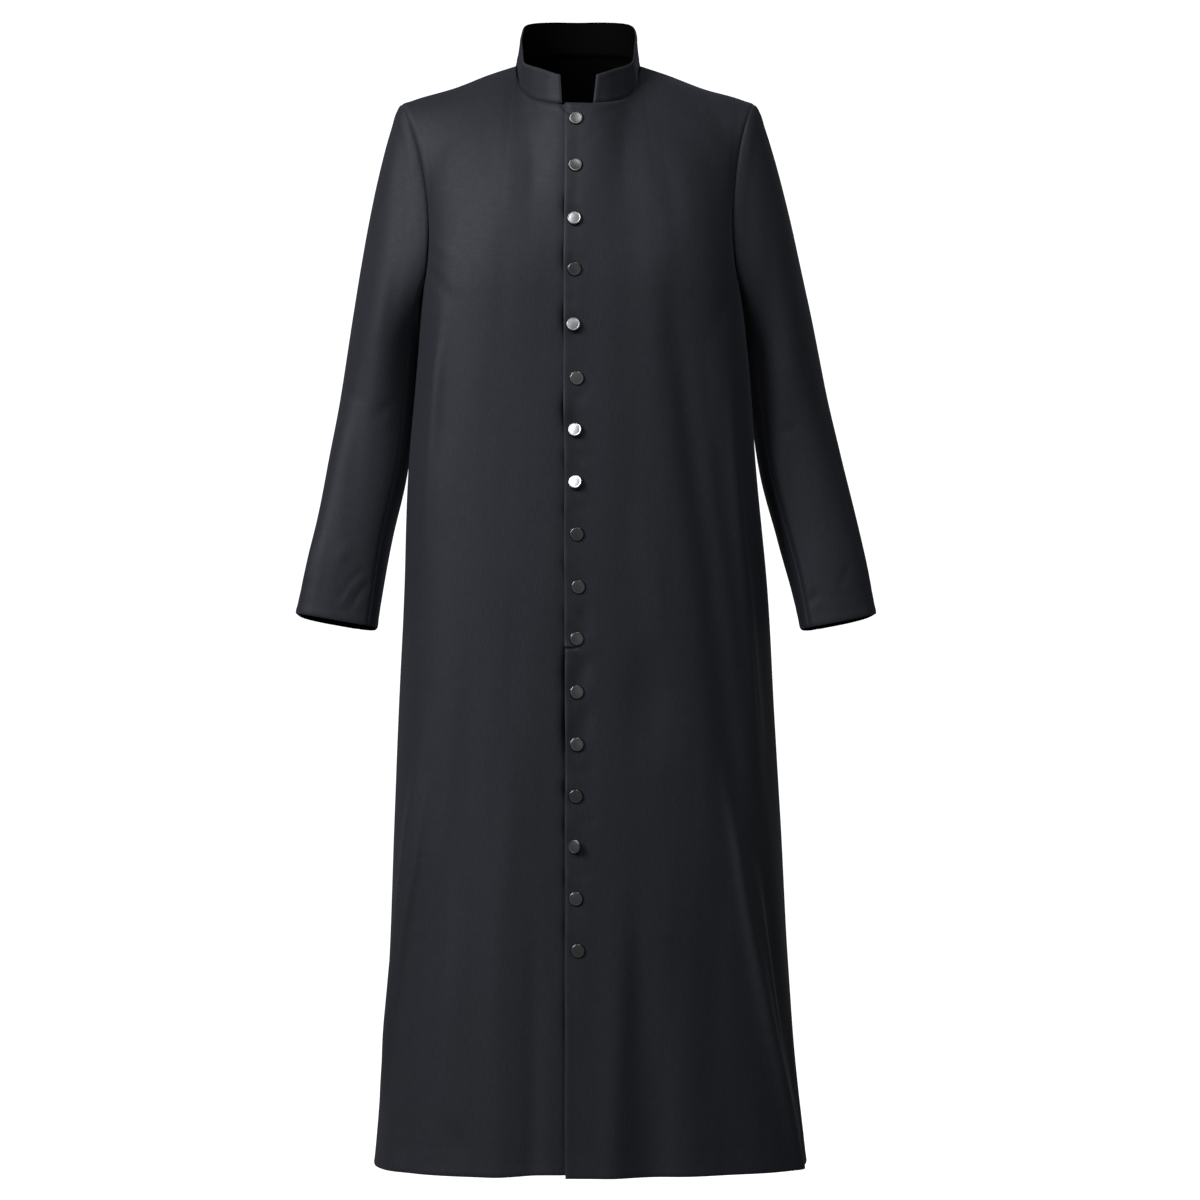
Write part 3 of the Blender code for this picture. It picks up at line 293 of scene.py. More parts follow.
def smooth(xs, ys, x, flat_ends=False):
    xs = np.asarray(xs, dtype=float)
    ys = np.asarray(ys, dtype=float)
    if xs[0] > xs[-1]:
        xs, ys = xs[::-1], ys[::-1]
    step = np.diff(xs)
    rise = np.diff(ys) / step
    slope = np.empty_like(ys)
    slope[1:-1] = (rise[:-1] * step[1:] + rise[1:] * step[:-1]) / (step[:-1] + step[1:])
    slope[0] = 0.0 if flat_ends else rise[0]
    slope[-1] = 0.0 if flat_ends else rise[-1]
    x = np.clip(np.asarray(x, dtype=float), xs[0], xs[-1])
    i = np.clip(np.searchsorted(xs, x, side="right") - 1, 0, len(step) - 1)
    t = (x - xs[i]) / step[i]
    h = step[i]
    return ((2 * t**3 - 3 * t**2 + 1) * ys[i] + (t**3 - 2 * t**2 + t) * h * slope[i]
            + (3 * t**2 - 2 * t**3) * ys[i + 1] + (t**3 - t**2) * h * slope[i + 1])


def pick(table, names, at, key, x, flat_ends=False):
    return smooth(column(table, names, at), column(table, names, key), x, flat_ends)


def vec(x, y, z):
    x, y, z = np.broadcast_arrays(x, y, z)
    return np.stack([x, y, z], axis=-1).astype(float)


def unit(v):
    return v / np.maximum(np.linalg.norm(v, axis=-1, keepdims=True), 1e-12)


def step_up(x, low, high):
    t = np.clip((np.asarray(x, dtype=float) - low) / (high - low), 0.0, 1.0)
    return t * t * (3.0 - 2.0 * t)


def bridge(p0, v0, p1, v1, t):
    t = np.asarray(t, dtype=float)[..., None]
    return ((2 * t**3 - 3 * t**2 + 1) * p0 + (t**3 - 2 * t**2 + t) * v0
            + (3 * t**2 - 2 * t**3) * p1 + (t**3 - t**2) * v1)


# ------------------------------------------------------------ the solids' form
def ring(angle, z):
    angle = np.asarray(angle, dtype=float)
    z = np.asarray(z, dtype=float)
    size = {key: pick(SECTIONS, SECTION_COLUMNS, "z", key, z)
            for key in ("half_minus_x", "half_plus_x", "side_y", "front", "back", "square")}
    mag = np.radians(np.abs(angle))
    half = np.where(angle < 0, size["half_minus_x"], size["half_plus_x"])
    sq = size["square"]
    across = (np.sin(mag) + sq * np.sin(3 * mag)) / (1 - sq)
    along = (np.cos(mag) - sq * np.cos(3 * mag)) / (1 - sq)
    deep = np.where(along > 0, size["front"], size["back"])
    return vec(np.sign(angle) * half * across, size["side_y"] - deep * along, z)


def neck_seam(plan):
    mag = np.abs(plan)
    rad = np.radians(mag)
    deep = np.where(mag < 90.0, NECK_FRONT, NECK_BACK)
    return vec(np.sign(plan) * NECK_HALF * np.sin(rad), NECK_SIDE_Y - deep * np.cos(rad),
               pick(NECK, NECK_COLUMNS, "angle", "seam_z", mag, True))


def top_edge(angle):
    sign = np.where(angle < 0, -1.0, 1.0)
    mag = np.abs(angle)
    fold = np.minimum(mag, 180.0 - mag)
    plan = 90.0 * np.clip(fold / NECK_DEG, 0.0, 1.0)
    plan = np.where(mag < 90.0, plan, 180.0 - plan)
    neck = neck_seam(sign * plan)
    k = np.clip((fold - NECK_DEG) / (90.0 - NECK_DEG), 0.0, 1.0)
    shoulder = vec(sign * pick(SHOULDER, SHOULDER_COLUMNS, "along", "x", k),
                   pick(SHOULDER, SHOULDER_COLUMNS, "along", "y", k),
                   pick(SHOULDER, SHOULDER_COLUMNS, "along", "z", k))
    return np.where((fold < NECK_DEG)[..., None], neck, shoulder)


def top_direction(angle):
    mag = np.abs(angle)
    front = np.radians(pick(RISE_FRONT, RISE_COLUMNS, "angle", "elevation", mag))
    back = np.radians(pick(RISE_BACK, RISE_COLUMNS, "angle", "elevation", mag))
    pull = np.where(mag <= 90.0, pick(RISE_FRONT, RISE_COLUMNS, "angle", "pull", mag),
                    pick(RISE_BACK, RISE_COLUMNS, "angle", "pull", mag))
    d = np.where((mag <= 90.0)[..., None], vec(0.0, np.cos(front), np.sin(front)),
                 vec(0.0, -np.cos(back), np.sin(back)))
    return d * pull[..., None]


def soft_top_edge(angle):
    mag = np.abs(angle)
    fold = np.minimum(mag, 180.0 - mag)
    near = 1.0 - step_up(np.abs(fold - NECK_DEG), 6.0, 22.0)
    exact = top_edge(angle)
    mean = np.zeros_like(exact)
    for off, share in ((-12.0, 0.15), (-6.0, 0.22), (0.0, 0.26), (6.0, 0.22), (12.0, 0.15)):
        mean = mean + share * top_edge(np.where(angle < 0, angle - off, angle + off))
    return exact + (mean - exact) * near[..., None]


def hem(angle):
    return pick(HEM, HEM_COLUMNS, "angle", "z", np.abs(angle), True)


def form(angle, level):
    angle, level = np.broadcast_arrays(np.asarray(angle, dtype=float), np.asarray(level, dtype=float))
    z = hem(angle) + (UNDERARM_Z - hem(angle)) * np.clip(level, 0.0, 1.0)
    low = ring(angle, z)
    base = ring(angle, np.full_like(angle, UNDERARM_Z))
    below = ring(angle, np.full_like(angle, UNDERARM_Z - 0.02))
    up = np.clip(level - 1.0, 0.0, 1.0)
    soft = soft_top_edge(angle)
    top = soft + (top_edge(angle) - soft) * (up**5)[..., None]
    chord = np.linalg.norm(soft - base, axis=-1, keepdims=True)
    leave = unit(base - below) * chord * 0.95
    arrive = top_direction(angle) * chord
    high = bridge(base, leave, top, arrive, up)
    return np.where((level > 1.0)[..., None], high, low)


def facing(surface, a0, a1, a, b0, b1, b):
    return unit(np.cross(surface(a1, b) - surface(a0, b), surface(a, b1) - surface(a, b0)))


def around(angle, level, da, db):
    angle, level = np.broadcast_arrays(np.asarray(angle, dtype=float), np.asarray(level, dtype=float))
    sign = np.where(angle < 0, -1.0, 1.0)
    mag = np.abs(angle)
    low, high = mag - da, mag + da
    chest = level > 1.0
    high = np.where(chest & (mag <= 90.0), np.minimum(high, 90.0), high)
    low = np.where(chest & (mag > 90.0), np.maximum(low, 90.0), low)
    first, last = np.where(sign > 0, low, -high), np.where(sign > 0, high, -low)
    return first, last, angle, np.maximum(level - db, 0.0), np.minimum(level + db, 2.0), level


def form_normal(angle, level):
    return facing(form, *around(angle, level, 0.4, 0.004))


def fold_height(angle, point):
    z = point[..., 2]
    total = np.zeros_like(z)
    for row in FOLDS:
        f = dict(zip(FOLD_COLUMNS, row))
        run = np.clip((f["z_top"] - z) / (f["z_top"] - f["z_low"]), 0.0, 1.0)
        centre = f["angle_top"] + (f["angle_low"] - f["angle_top"]) * run
        off = (angle - centre + 180.0) % 360.0 - 180.0
        grow = step_up(f["z_top"] - z, 0.0, 0.35 * (f["z_top"] - f["z_low"]))
        fade = 1.0 - step_up(f["z_low"] - z, -0.10, 0.06) if f["z_low"] > -1.40 else 1.0
        width = f["width"] * (0.7 + 0.5 * run)
        total = total + f["depth"] * grow * fade * np.exp(-((off / width) ** 2))
    return total


def folded(angle, level):
    angle, level = np.broadcast_arrays(np.asarray(angle, dtype=float), np.asarray(level, dtype=float))
    point = form(angle, level)
    return point + form_normal(angle, level) * fold_height(angle, point)[..., None]


def shell_normal(angle, level):
    return facing(folded, *around(angle, level, 0.8, 0.008))


def armhole(w, side):
    angle = pick(ARMHOLE, ARMHOLE_COLUMNS, "w", "angle", w)
    level = pick(ARMHOLE, ARMHOLE_COLUMNS, "w", "level", w)
    return side * angle, 1.0 + np.clip(level, 0.0, 1.0)


def sleeve_frame(z, side):
    key = "plus" if side > 0 else "minus"

    def centre(h):
        return vec(pick(SLEEVE, SLEEVE_COLUMNS, "z", "x_" + key, h),
                   pick(SLEEVE, SLEEVE_COLUMNS, "z", "y", h), h)

    z = np.asarray(z, dtype=float)
    low, high = SLEEVE[-1][0], SLEEVE[0][0]
    z0, z1 = np.clip(z - 0.01, low, high), np.clip(z + 0.01, low, high)
    down = unit(centre(z0) - centre(z1))
    out = vec(side, 0.0, 0.0) + np.zeros_like(down)
    out = unit(out - down * np.sum(out * down, axis=-1, keepdims=True))
    ahead = np.cross(down, out) * side
    ahead = np.where(ahead[..., 1:2] > 0, -ahead, ahead)
    return (centre(z), down, out, ahead,
            pick(SLEEVE, SLEEVE_COLUMNS, "z", "half_" + key, z),
            pick(SLEEVE, SLEEVE_COLUMNS, "z", "depth", z))


def sleeve_ring(w, z, side):
    c, _, out, ahead, half, depth = sleeve_frame(z, side)
    a = 2 * np.pi * np.asarray(w, dtype=float)
    sq = 0.055 * step_up(SLEEVE[0][0] - np.asarray(z, dtype=float), 0.0, 0.16)
    return (c - out * (half * (np.cos(a) - sq * np.cos(3 * a)) / (1 - sq))[..., None]
            + ahead * (depth * (np.sin(a) + sq * np.sin(3 * a)) / (1 - sq))[..., None])


def sleeve(w, level, side):
    w, level = np.broadcast_arrays(np.asarray(w, dtype=float), np.asarray(level, dtype=float))
    w = w % 1.0
    z_head, z_cuff = SLEEVE[0][0], SLEEVE[-1][0]
    start = folded(*armhole(w, side))
    first = sleeve_ring(w, np.full_like(w, z_head), side)
    second = sleeve_ring(w, np.full_like(w, z_head - 0.02), side)
    chord = np.linalg.norm(first - start, axis=-1, keepdims=True)
    leave = unit(vec(side * pick(HEAD, HEAD_COLUMNS, "w", "outward", w),
                     -pick(HEAD, HEAD_COLUMNS, "w", "forward", w),
                     -pick(HEAD, HEAD_COLUMNS, "w", "down", w)))
    leave = leave * chord * pick(HEAD, HEAD_COLUMNS, "w", "pull", w)[..., None]
    arrive = unit(second - first) * chord
    head = bridge(start, leave, first, arrive, np.clip(level, 0.0, 1.0))
    z = z_head + (z_cuff - z_head) * np.clip(level - 1.0, 0.0, 1.0)
    arm = sleeve_ring(w, z, side)
    return np.where((level > 1.0)[..., None], arm, head)


# ------------------------------------------------------------ cloth on the form
def seen(point, behind=False):
    """Place of a point in the front view, or in the view from behind."""
    x, y, z = point[..., 0], point[..., 1], point[..., 2]
    if behind:
        x, y = -x + 2 * VIEW_X, -y
    scale = VIEW_Y / (VIEW_Y + y) / STEP
    return 600.0 + (x - VIEW_X) * scale, 600.0 - (z - VIEW_Z) * scale


def strokes(table, point, normal, behind=False, low=0.10, high=0.42):
    """Height in metres that the strokes of a table give each point."""
    across, down = seen(point, behind)
    turned = normal[..., 1] if behind else -normal[..., 1]
    weight = step_up(turned, low, high)
    total = np.zeros(across.shape)
    for line in table:
        line = np.array(line, dtype=float)
        reach = 3.0 * line[:, 2].max()
        near = ((across > line[:, 0].min() - reach) & (across < line[:, 0].max() + reach)
                & (down > line[:, 1].min() - reach) & (down < line[:, 1].max() + reach) & (weight > 0))
        if not near.any():
            continue
        a, d = across[near], down[near]
        # a smooth line through the rows, so that a stroke has no corners
        run = np.concatenate([[0.0], np.cumsum(np.hypot(np.diff(line[:, 0]), np.diff(line[:, 1])))])
        fine = np.linspace(0.0, run[-1], 6 * len(line))
        px, py = smooth(run, line[:, 0], fine), smooth(run, line[:, 1], fine)
        wide, high_mm = smooth(run, line[:, 2], fine), smooth(run, line[:, 3], fine)
        best = np.full(a.shape, 1e9)
        value = np.zeros(a.shape)
        for i in range(len(fine) - 1):
            dx, dy = px[i + 1] - px[i], py[i + 1] - py[i]
            t = np.clip(((a - px[i]) * dx + (d - py[i]) * dy) / (dx * dx + dy * dy), 0.0, 1.0)
            far = np.hypot(a - px[i] - t * dx, d - py[i] - t * dy)
            w = wide[i] + (wide[i + 1] - wide[i]) * t
            h = high_mm[i] + (high_mm[i + 1] - high_mm[i]) * t
            closer = far < best
            best = np.where(closer, far, best)
            value = np.where(closer, h * np.exp(-((far / w) ** 2)), value)
        total[near] += value
    return total * weight * 0.001


def unrest(point):
    """Slight unevenness of hanging cloth, long down the grain, the same on
    both sides of every seam."""
    rng = np.random.default_rng(27)
    total = np.zeros(point.shape[:-1])
    for wave, height, stretch in ((0.150, 0.00042, 3.0), (0.085, 0.00026, 2.6), (0.048, 0.00014, 2.2), (0.026, 0.00006, 1.6)):
        for _ in range(5):
            turn = rng.uniform(0, 2 * np.pi)
            tilt = rng.normal(0, 0.25)
            way = np.array([np.cos(turn), np.sin(turn), tilt]) * (2 * np.pi / wave)
            way[2] /= stretch
            total += height * np.sin(point @ way + rng.uniform(0, 2 * np.pi)) / 2.2
    return total


def run_length(grid, axis):
    step = np.linalg.norm(np.diff(grid, axis=axis), axis=-1)
    zero = np.zeros_like(np.take(step, [0], axis=axis))
    return np.concatenate([zero, np.cumsum(step, axis=axis)], axis=axis)


def grid_normal(grid, side=1.0):
    across = np.gradient(grid, axis=1)
    up = np.gradient(grid, axis=0)
    return unit(np.cross(across, up)) * side


def wall_normal(grid, normal):
    """Direction of the wall: the surface's own normal, but the form's where
    the last rows lie almost on each other."""
    own = grid_normal(grid)
    own[-4:] = normal[-4:]
    return own


def clustered(count, tight, ends=(True, True)):
    """Shares from 0 to 1 that lie closer together towards the chosen ends."""
    base = np.linspace(0.0, 1.0, count)
    lead = [0.0, 0.16, 0.36, 0.62, 1.0, 1.6, 2.5]
    parts = []
    if ends[0]:
        parts.append(np.array(lead) * tight)
    lo = lead[-1] * tight if ends[0] else 0.0
    hi = 1.0 - lead[-1] * tight if ends[1] else 1.0
    parts.append(lo + (hi - lo) * base[(1 if ends[0] else 0):(-1 if ends[1] else None)])
    if ends[1]:
        parts.append(1.0 - np.array(lead[::-1]) * tight)
    return np.concatenate(parts)


def seam_drop(dist, depth=0.0011, width=0.0016, swell=0.0004, at=0.0060):
    """Cloth dips into a seam and swells over the allowance beside it."""
    return -depth * np.exp(-((dist / width) ** 2)) + swell * np.exp(-(((dist - at) / 0.0035) ** 2))


PIECES = {}


def cloth_piece(name, outer, inward, thick, cloth_mat, inside_mat, edge_lightening, hidden_top=False):
    """Closed thin wall from a grid of outer points.  The last argument gives
    each point's lightening of colour near sewn edges and hems: partly edge
    wear, partly painted highlight."""
    rows, cols = outer.shape[:2]
    count = rows * cols
    inner = outer - inward * thick
    verts = np.concatenate([outer.reshape(-1, 3), inner.reshape(-1, 3)])
    index = np.arange(count).reshape(rows, cols)
    a, b = index[:-1, :-1].ravel(), index[:-1, 1:].ravel()
    c, d = index[1:, 1:].ravel(), index[1:, :-1].ravel()
    faces = [np.stack([a, b, c, d], axis=1), np.stack([a, d, c, b], axis=1) + count]
    n_outer = len(a)
    for edge, flip in ((index[0], True), (index[-1], False), (index[:, 0], False), (index[:, -1], True)):
        p, q = (edge[1:], edge[:-1]) if flip else (edge[:-1], edge[1:])
        faces.append(np.stack([p, q, q + count, p + count], axis=1))
    quads = np.concatenate(faces).astype(np.int32)
    mesh = bpy.data.meshes.new(name)
    mesh.vertices.add(len(verts))
    mesh.vertices.foreach_set("co", verts.astype(np.float32).ravel())
    mesh.loops.add(quads.size)
    mesh.loops.foreach_set("vertex_index", quads.ravel())
    mesh.polygons.add(len(quads))
    mesh.polygons.foreach_set("loop_start", np.arange(0, quads.size, 4, dtype=np.int32))
    mesh.materials.append(cloth_mat)
    mesh.materials.append(inside_mat)
    slot = np.zeros(len(quads), dtype=np.int32)
    # inner faces, and with hidden_top the neck allowance rows, take the second material: painted shade for the hollow
    # inside
    slot[n_outer:2 * n_outer] = 1
    if hidden_top:
        slot[n_outer - 2 * (cols - 1):n_outer] = 1
        slot[2 * n_outer + cols - 1:2 * n_outer + 2 * (cols - 1)] = 1
    mesh.polygons.foreach_set("material_index", slot)
    mesh.update(calc_edges=True)
    along = run_length(outer, 1)
    along = along - along[:, [cols // 2]]
    down = run_length(outer, 0)
    flat = np.stack([along.ravel(), down.ravel()], axis=1)
    flat = np.concatenate([flat, flat])
    layer = mesh.uv_layers.new(name="grain")
    layer.data.foreach_set("uv", flat[quads.ravel()].astype(np.float32).ravel())
    # the seam attribute carries that lightening of colour: edge wear and painted highlight
    near = mesh.attributes.new("seam", "FLOAT", "POINT")
    both = np.concatenate([edge_lightening.ravel(), edge_lightening.ravel()])
    near.data.foreach_set("value", np.clip(both, 0.0, 1.0).astype(np.float32))
    mesh.shade_smooth()
    mesh.set_sharp_from_angle(angle=math.radians(50))
    mesh.validate()
    obj = bpy.data.objects.new(name, mesh)
    bpy.context.scene.collection.objects.link(obj)
    PIECES[name] = obj
    return obj


# ------------------------------------------------------------ materials
def node(tree, kind, **values):
    made = tree.nodes.new(kind)
    for key, value in values.items():
        if key in made.bl_rna.properties:
            setattr(made, key, value)
        else:
            made.inputs[key.replace("_", " ")].default_value = value
    return made


def twill(name, light, dark, rough, seed):
    """Fine satin twill: dark base with a slow drift of tone, a diagonal rib,
    yarn slubs down the grain and a soft nap, lightened where the mesh's seam
    attribute is high: partly edge wear, partly painted highlight along lit edges."""
    mat = bpy.data.materials.new(name)
    mat.use_nodes = True
    tree = mat.node_tree
    link = tree.links.new
    shader = tree.nodes["Principled BSDF"]
    uv = node(tree, "ShaderNodeUVMap", uv_map="grain")
    space = node(tree, "ShaderNodeTexCoord")
    # slow drift of tone over the garment
    drift = node(tree, "ShaderNodeTexNoise", Scale=5.0 + seed, Detail=3.0, Roughness=0.55)
    link(space.outputs["Object"], drift.inputs["Vector"])
    # yarns: long down the grain, narrow across it
    yarn_map = node(tree, "ShaderNodeMapping")
    yarn_map.inputs["Scale"].default_value = (900.0, 70.0, 1.0)
    link(uv.outputs["UV"], yarn_map.inputs["Vector"])
    yarn = node(tree, "ShaderNodeTexNoise", Scale=1.0, Detail=2.0, Roughness=0.6)
    link(yarn_map.outputs["Vector"], yarn.inputs["Vector"])
    weft_map = node(tree, "ShaderNodeMapping")
    weft_map.inputs["Scale"].default_value = (60.0, 700.0, 1.0)
    link(uv.outputs["UV"], weft_map.inputs["Vector"])
    weft = node(tree, "ShaderNodeTexNoise", Scale=1.0, Detail=2.0, Roughness=0.6)
    link(weft_map.outputs["Vector"], weft.inputs["Vector"])
    rib = node(tree, "ShaderNodeTexWave", wave_type="BANDS", bands_direction="DIAGONAL", wave_profile="SIN",
               Scale=330.0, Distortion=0.6, Detail=1.0)
    rib.inputs["Detail Scale"].default_value = 40.0
    link(uv.outputs["UV"], rib.inputs["Vector"])
    near = node(tree, "ShaderNodeAttribute", attribute_name="seam")
    streak_map = node(tree, "ShaderNodeMapping")
    streak_map.inputs["Scale"].default_value = (150.0, 5.0, 1.0)
    link(uv.outputs["UV"], streak_map.inputs["Vector"])
    streak = node(tree, "ShaderNodeTexNoise", Scale=1.0, Detail=3.0, Roughness=0.6)
    link(streak_map.outputs["Vector"], streak.inputs["Vector"])
    grain_map = node(tree, "ShaderNodeMapping")
    grain_map.inputs["Scale"].default_value = (420.0, 330.0, 1.0)
    grain_map.inputs["Rotation"].default_value = (0.0, 0.0, 0.7)
    link(uv.outputs["UV"], grain_map.inputs["Vector"])
    grain = node(tree, "ShaderNodeTexNoise", Scale=1.0, Detail=2.0, Roughness=0.7)
    link(grain_map.outputs["Vector"], grain.inputs["Vector"])

    tone = node(tree, "ShaderNodeMix", data_type="RGBA")
    tone.inputs[6].default_value = (*dark, 1.0)
    tone.inputs[7].default_value = (*light, 1.0)
    link(drift.outputs["Fac"], tone.inputs[0])
    flecks = node(tree, "ShaderNodeMapRange")
    for key, value in (("From Min", 0.25), ("From Max", 0.75), ("To Min", 0.78), ("To Max", 1.24)):
        flecks.inputs[key].default_value = value
    link(yarn.outputs["Fac"], flecks.inputs["Value"])
    ribs = node(tree, "ShaderNodeMapRange")
    for key, value in (("To Min", 0.88), ("To Max", 1.10)):
        ribs.inputs[key].default_value = value
    link(rib.outputs["Fac"], ribs.inputs["Value"])
    lines = node(tree, "ShaderNodeMapRange")
    for key, value in (("From Min", 0.3), ("From Max", 0.7), ("To Min", 0.965), ("To Max", 1.035)):
        lines.inputs[key].default_value = value
    link(streak.outputs["Fac"], lines.inputs["Value"])
    specks = node(tree, "ShaderNodeMapRange")
    for key, value in (("From Min", 0.3), ("From Max", 0.7), ("To Min", 0.90), ("To Max", 1.10)):
        specks.inputs[key].default_value = value
    link(grain.outputs["Fac"], specks.inputs["Value"])
    first_two = node(tree, "ShaderNodeMath", operation="MULTIPLY")
    link(flecks.outputs["Result"], first_two.inputs[0])
    link(ribs.outputs["Result"], first_two.inputs[1])
    next_two = node(tree, "ShaderNodeMath", operation="MULTIPLY")
    link(lines.outputs["Result"], next_two.inputs[0])
    link(specks.outputs["Result"], next_two.inputs[1])
    both = node(tree, "ShaderNodeMath", operation="MULTIPLY")
    link(first_two.outputs[0], both.inputs[0])
    link(next_two.outputs[0], both.inputs[1])
    # lightens the colour by up to 45 % along edges and seams: partly edge wear, partly painted highlight
    wear_and_painted_highlight = node(tree, "ShaderNodeMath", operation="MULTIPLY_ADD")
    wear_and_painted_highlight.inputs[1].default_value = 0.45
    wear_and_painted_highlight.inputs[2].default_value = 1.0
    link(near.outputs["Fac"], wear_and_painted_highlight.inputs[0])
    gain = node(tree, "ShaderNodeMath", operation="MULTIPLY")
    link(both.outputs[0], gain.inputs[0])
    link(wear_and_painted_highlight.outputs[0], gain.inputs[1])
    paint = node(tree, "ShaderNodeVectorMath", operation="SCALE")
    link(tone.outputs[2], paint.inputs[0])
    link(gain.outputs[0], paint.inputs["Scale"])
    link(paint.outputs[0], shader.inputs["Base Color"])

    gloss = node(tree, "ShaderNodeMapRange")
    for key, value in (("From Min", 0.3), ("From Max", 0.7), ("To Min", rough - 0.035), ("To Max", rough + 0.045)):
        gloss.inputs[key].default_value = value
    link(weft.outputs["Fac"], gloss.inputs["Value"])
    link(gloss.outputs["Result"], shader.inputs["Roughness"])
    shader.inputs["Specular IOR Level"].default_value = 0.38
    shader.inputs["Specular Tint"].default_value = (0.84, 0.89, 1.0, 1.0)
    shader.inputs["Sheen Weight"].default_value = 0.10
    shader.inputs["Sheen Roughness"].default_value = 0.45
    shader.inputs["Sheen Tint"].default_value = (0.78, 0.83, 1.0, 1.0)

    height = node(tree, "ShaderNodeMath", operation="MULTIPLY_ADD")
    height.inputs[1].default_value = 0.6
    link(yarn.outputs["Fac"], height.inputs[0])
    link(rib.outputs["Fac"], height.inputs[2])
    more = node(tree, "ShaderNodeMath", operation="MULTIPLY_ADD")
    more.inputs[1].default_value = 0.5
    link(weft.outputs["Fac"], more.inputs[0])
    link(height.outputs[0], more.inputs[2])
    bump = node(tree, "ShaderNodeBump", Strength=0.35, Distance=0.00009)
    link(more.outputs[0], bump.inputs["Height"])
    crumple = node(tree, "ShaderNodeTexNoise", Scale=38.0, Detail=4.0, Roughness=0.5)
    link(space.outputs["Object"], crumple.inputs["Vector"])
    bump2 = node(tree, "ShaderNodeBump", Strength=0.22, Distance=0.0010)
    link(crumple.outputs["Fac"], bump2.inputs["Height"])
    link(bump.outputs["Normal"], bump2.inputs["Normal"])
    link(bump2.outputs["Normal"], shader.inputs["Normal"])
    return mat


def painted_shade_inside(name):
    """Wrong side of the cloth: matt, painted almost black, far darker than the
    cloth's own colour: painted shade for the garment's hollow inside.
    """
    mat = bpy.data.materials.new(name)
    mat.use_nodes = True
    tree = mat.node_tree
    link = tree.links.new
    shader = tree.nodes["Principled BSDF"]
    uv = node(tree, "ShaderNodeUVMap", uv_map="grain")
    rib = node(tree, "ShaderNodeTexWave", wave_type="BANDS", bands_direction="DIAGONAL", Scale=330.0, Distortion=0.8)
    link(uv.outputs["UV"], rib.inputs["Vector"])
    tone = node(tree, "ShaderNodeMix", data_type="RGBA")
    tone.inputs[6].default_value = (0.0009, 0.0009, 0.0012, 1.0)
    tone.inputs[7].default_value = (0.0014, 0.0014, 0.0018, 1.0)
    link(rib.outputs["Fac"], tone.inputs[0])
    link(tone.outputs[2], shader.inputs["Base Color"])
    shader.inputs["Roughness"].default_value = 0.85
    shader.inputs["Specular IOR Level"].default_value = 0.06
    bump = node(tree, "ShaderNodeBump", Strength=0.3, Distance=0.00009)
    link(rib.outputs["Fac"], bump.inputs["Height"])
    link(bump.outputs["Normal"], shader.inputs["Normal"])
    return mat


def metal(name, colour, rough, seed):
    """Plated snap cap: brushed in rings, with a slight mottle of tone."""
    mat = bpy.data.materials.new(name)
    mat.use_nodes = True
    tree = mat.node_tree
    link = tree.links.new
    shader = tree.nodes["Principled BSDF"]
    space = node(tree, "ShaderNodeTexCoord")
    spots = node(tree, "ShaderNodeTexNoise", Scale=220.0 + 9 * seed, Detail=4.0, Roughness=0.6)
    link(space.outputs["Object"], spots.inputs["Vector"])
    tone = node(tree, "ShaderNodeMix", data_type="RGBA")
    tone.inputs[6].default_value = (*[c * 0.94 for c in colour], 1.0)
    tone.inputs[7].default_value = (*[min(c * 1.06, 1.0) for c in colour], 1.0)
    link(spots.outputs["Fac"], tone.inputs[0])
    link(tone.outputs[2], shader.inputs["Base Color"])
    shader.inputs["Metallic"].default_value = 1.0
    rings = node(tree, "ShaderNodeTexWave", wave_type="RINGS", rings_direction="Z", Scale=520.0, Distortion=1.2, Detail=2.0)
    link(space.outputs["Object"], rings.inputs["Vector"])
    gloss = node(tree, "ShaderNodeMapRange")
    for key, value in (("To Min", rough - 0.02), ("To Max", rough + 0.04)):
        gloss.inputs[key].default_value = value
    link(spots.outputs["Fac"], gloss.inputs["Value"])
    link(gloss.outputs["Result"], shader.inputs["Roughness"])
    bump = node(tree, "ShaderNodeBump", Strength=0.015, Distance=0.00002)
    link(rings.outputs["Fac"], bump.inputs["Height"])
    link(bump.outputs["Normal"], shader.inputs["Normal"])
    return mat


# the collar's copy is painted about a sixth darker than the fronts: painted shade on the standing band
TWILL = {
    "front_left": twill("cloth_front_left", (0.0262, 0.0274, 0.0338), (0.0212, 0.0221, 0.0276), 0.60, 0.0),
    "front_right": twill("cloth_front_right", (0.0262, 0.0274, 0.0338), (0.0212, 0.0221, 0.0276), 0.60, 0.3),
    "back": twill("cloth_back", (0.0255, 0.0266, 0.0330), (0.0206, 0.0215, 0.0268), 0.60, 0.6),
    "sleeves": twill("cloth_sleeves", (0.0255, 0.0266, 0.0330), (0.0206, 0.0215, 0.0268), 0.60, 0.9),
    "collar": twill("cloth_collar", (0.0218, 0.0227, 0.0281), (0.0176, 0.0184, 0.0228), 0.60, 1.2),
}
# near-black colour for all inner faces: painted shade
INSIDE_PAINTED_SHADE = painted_shade_inside("cloth_inside_painted_shade")
# near-black metal for the cap's skirt and the ring beyond its edge: dark metal with a painted shadow for the gap round
# each cap
SNAP_BASE_PAINTED_SHADOW = metal("snap_base_painted_shadow", (0.012, 0.012, 0.014), 0.55, 20)


# ------------------------------------------------------------ body panels
def angle_at(x, level):
    level = np.asarray(level, dtype=float)
    low, high = np.full_like(level, -40.0), np.full_like(level, 40.0)
    for _ in range(30):
        mid = 0.5 * (low + high)
        past = form(mid, level)[..., 0] > x
        high = np.where(past, mid, high)
        low = np.where(past, low, mid)
    return 0.5 * (low + high)


def side_seam(level):
    return SIDE_SEAM_DEG + (UNDERARM_DEG - SIDE_SEAM_DEG) * step_up(level, 0.45, 1.0)


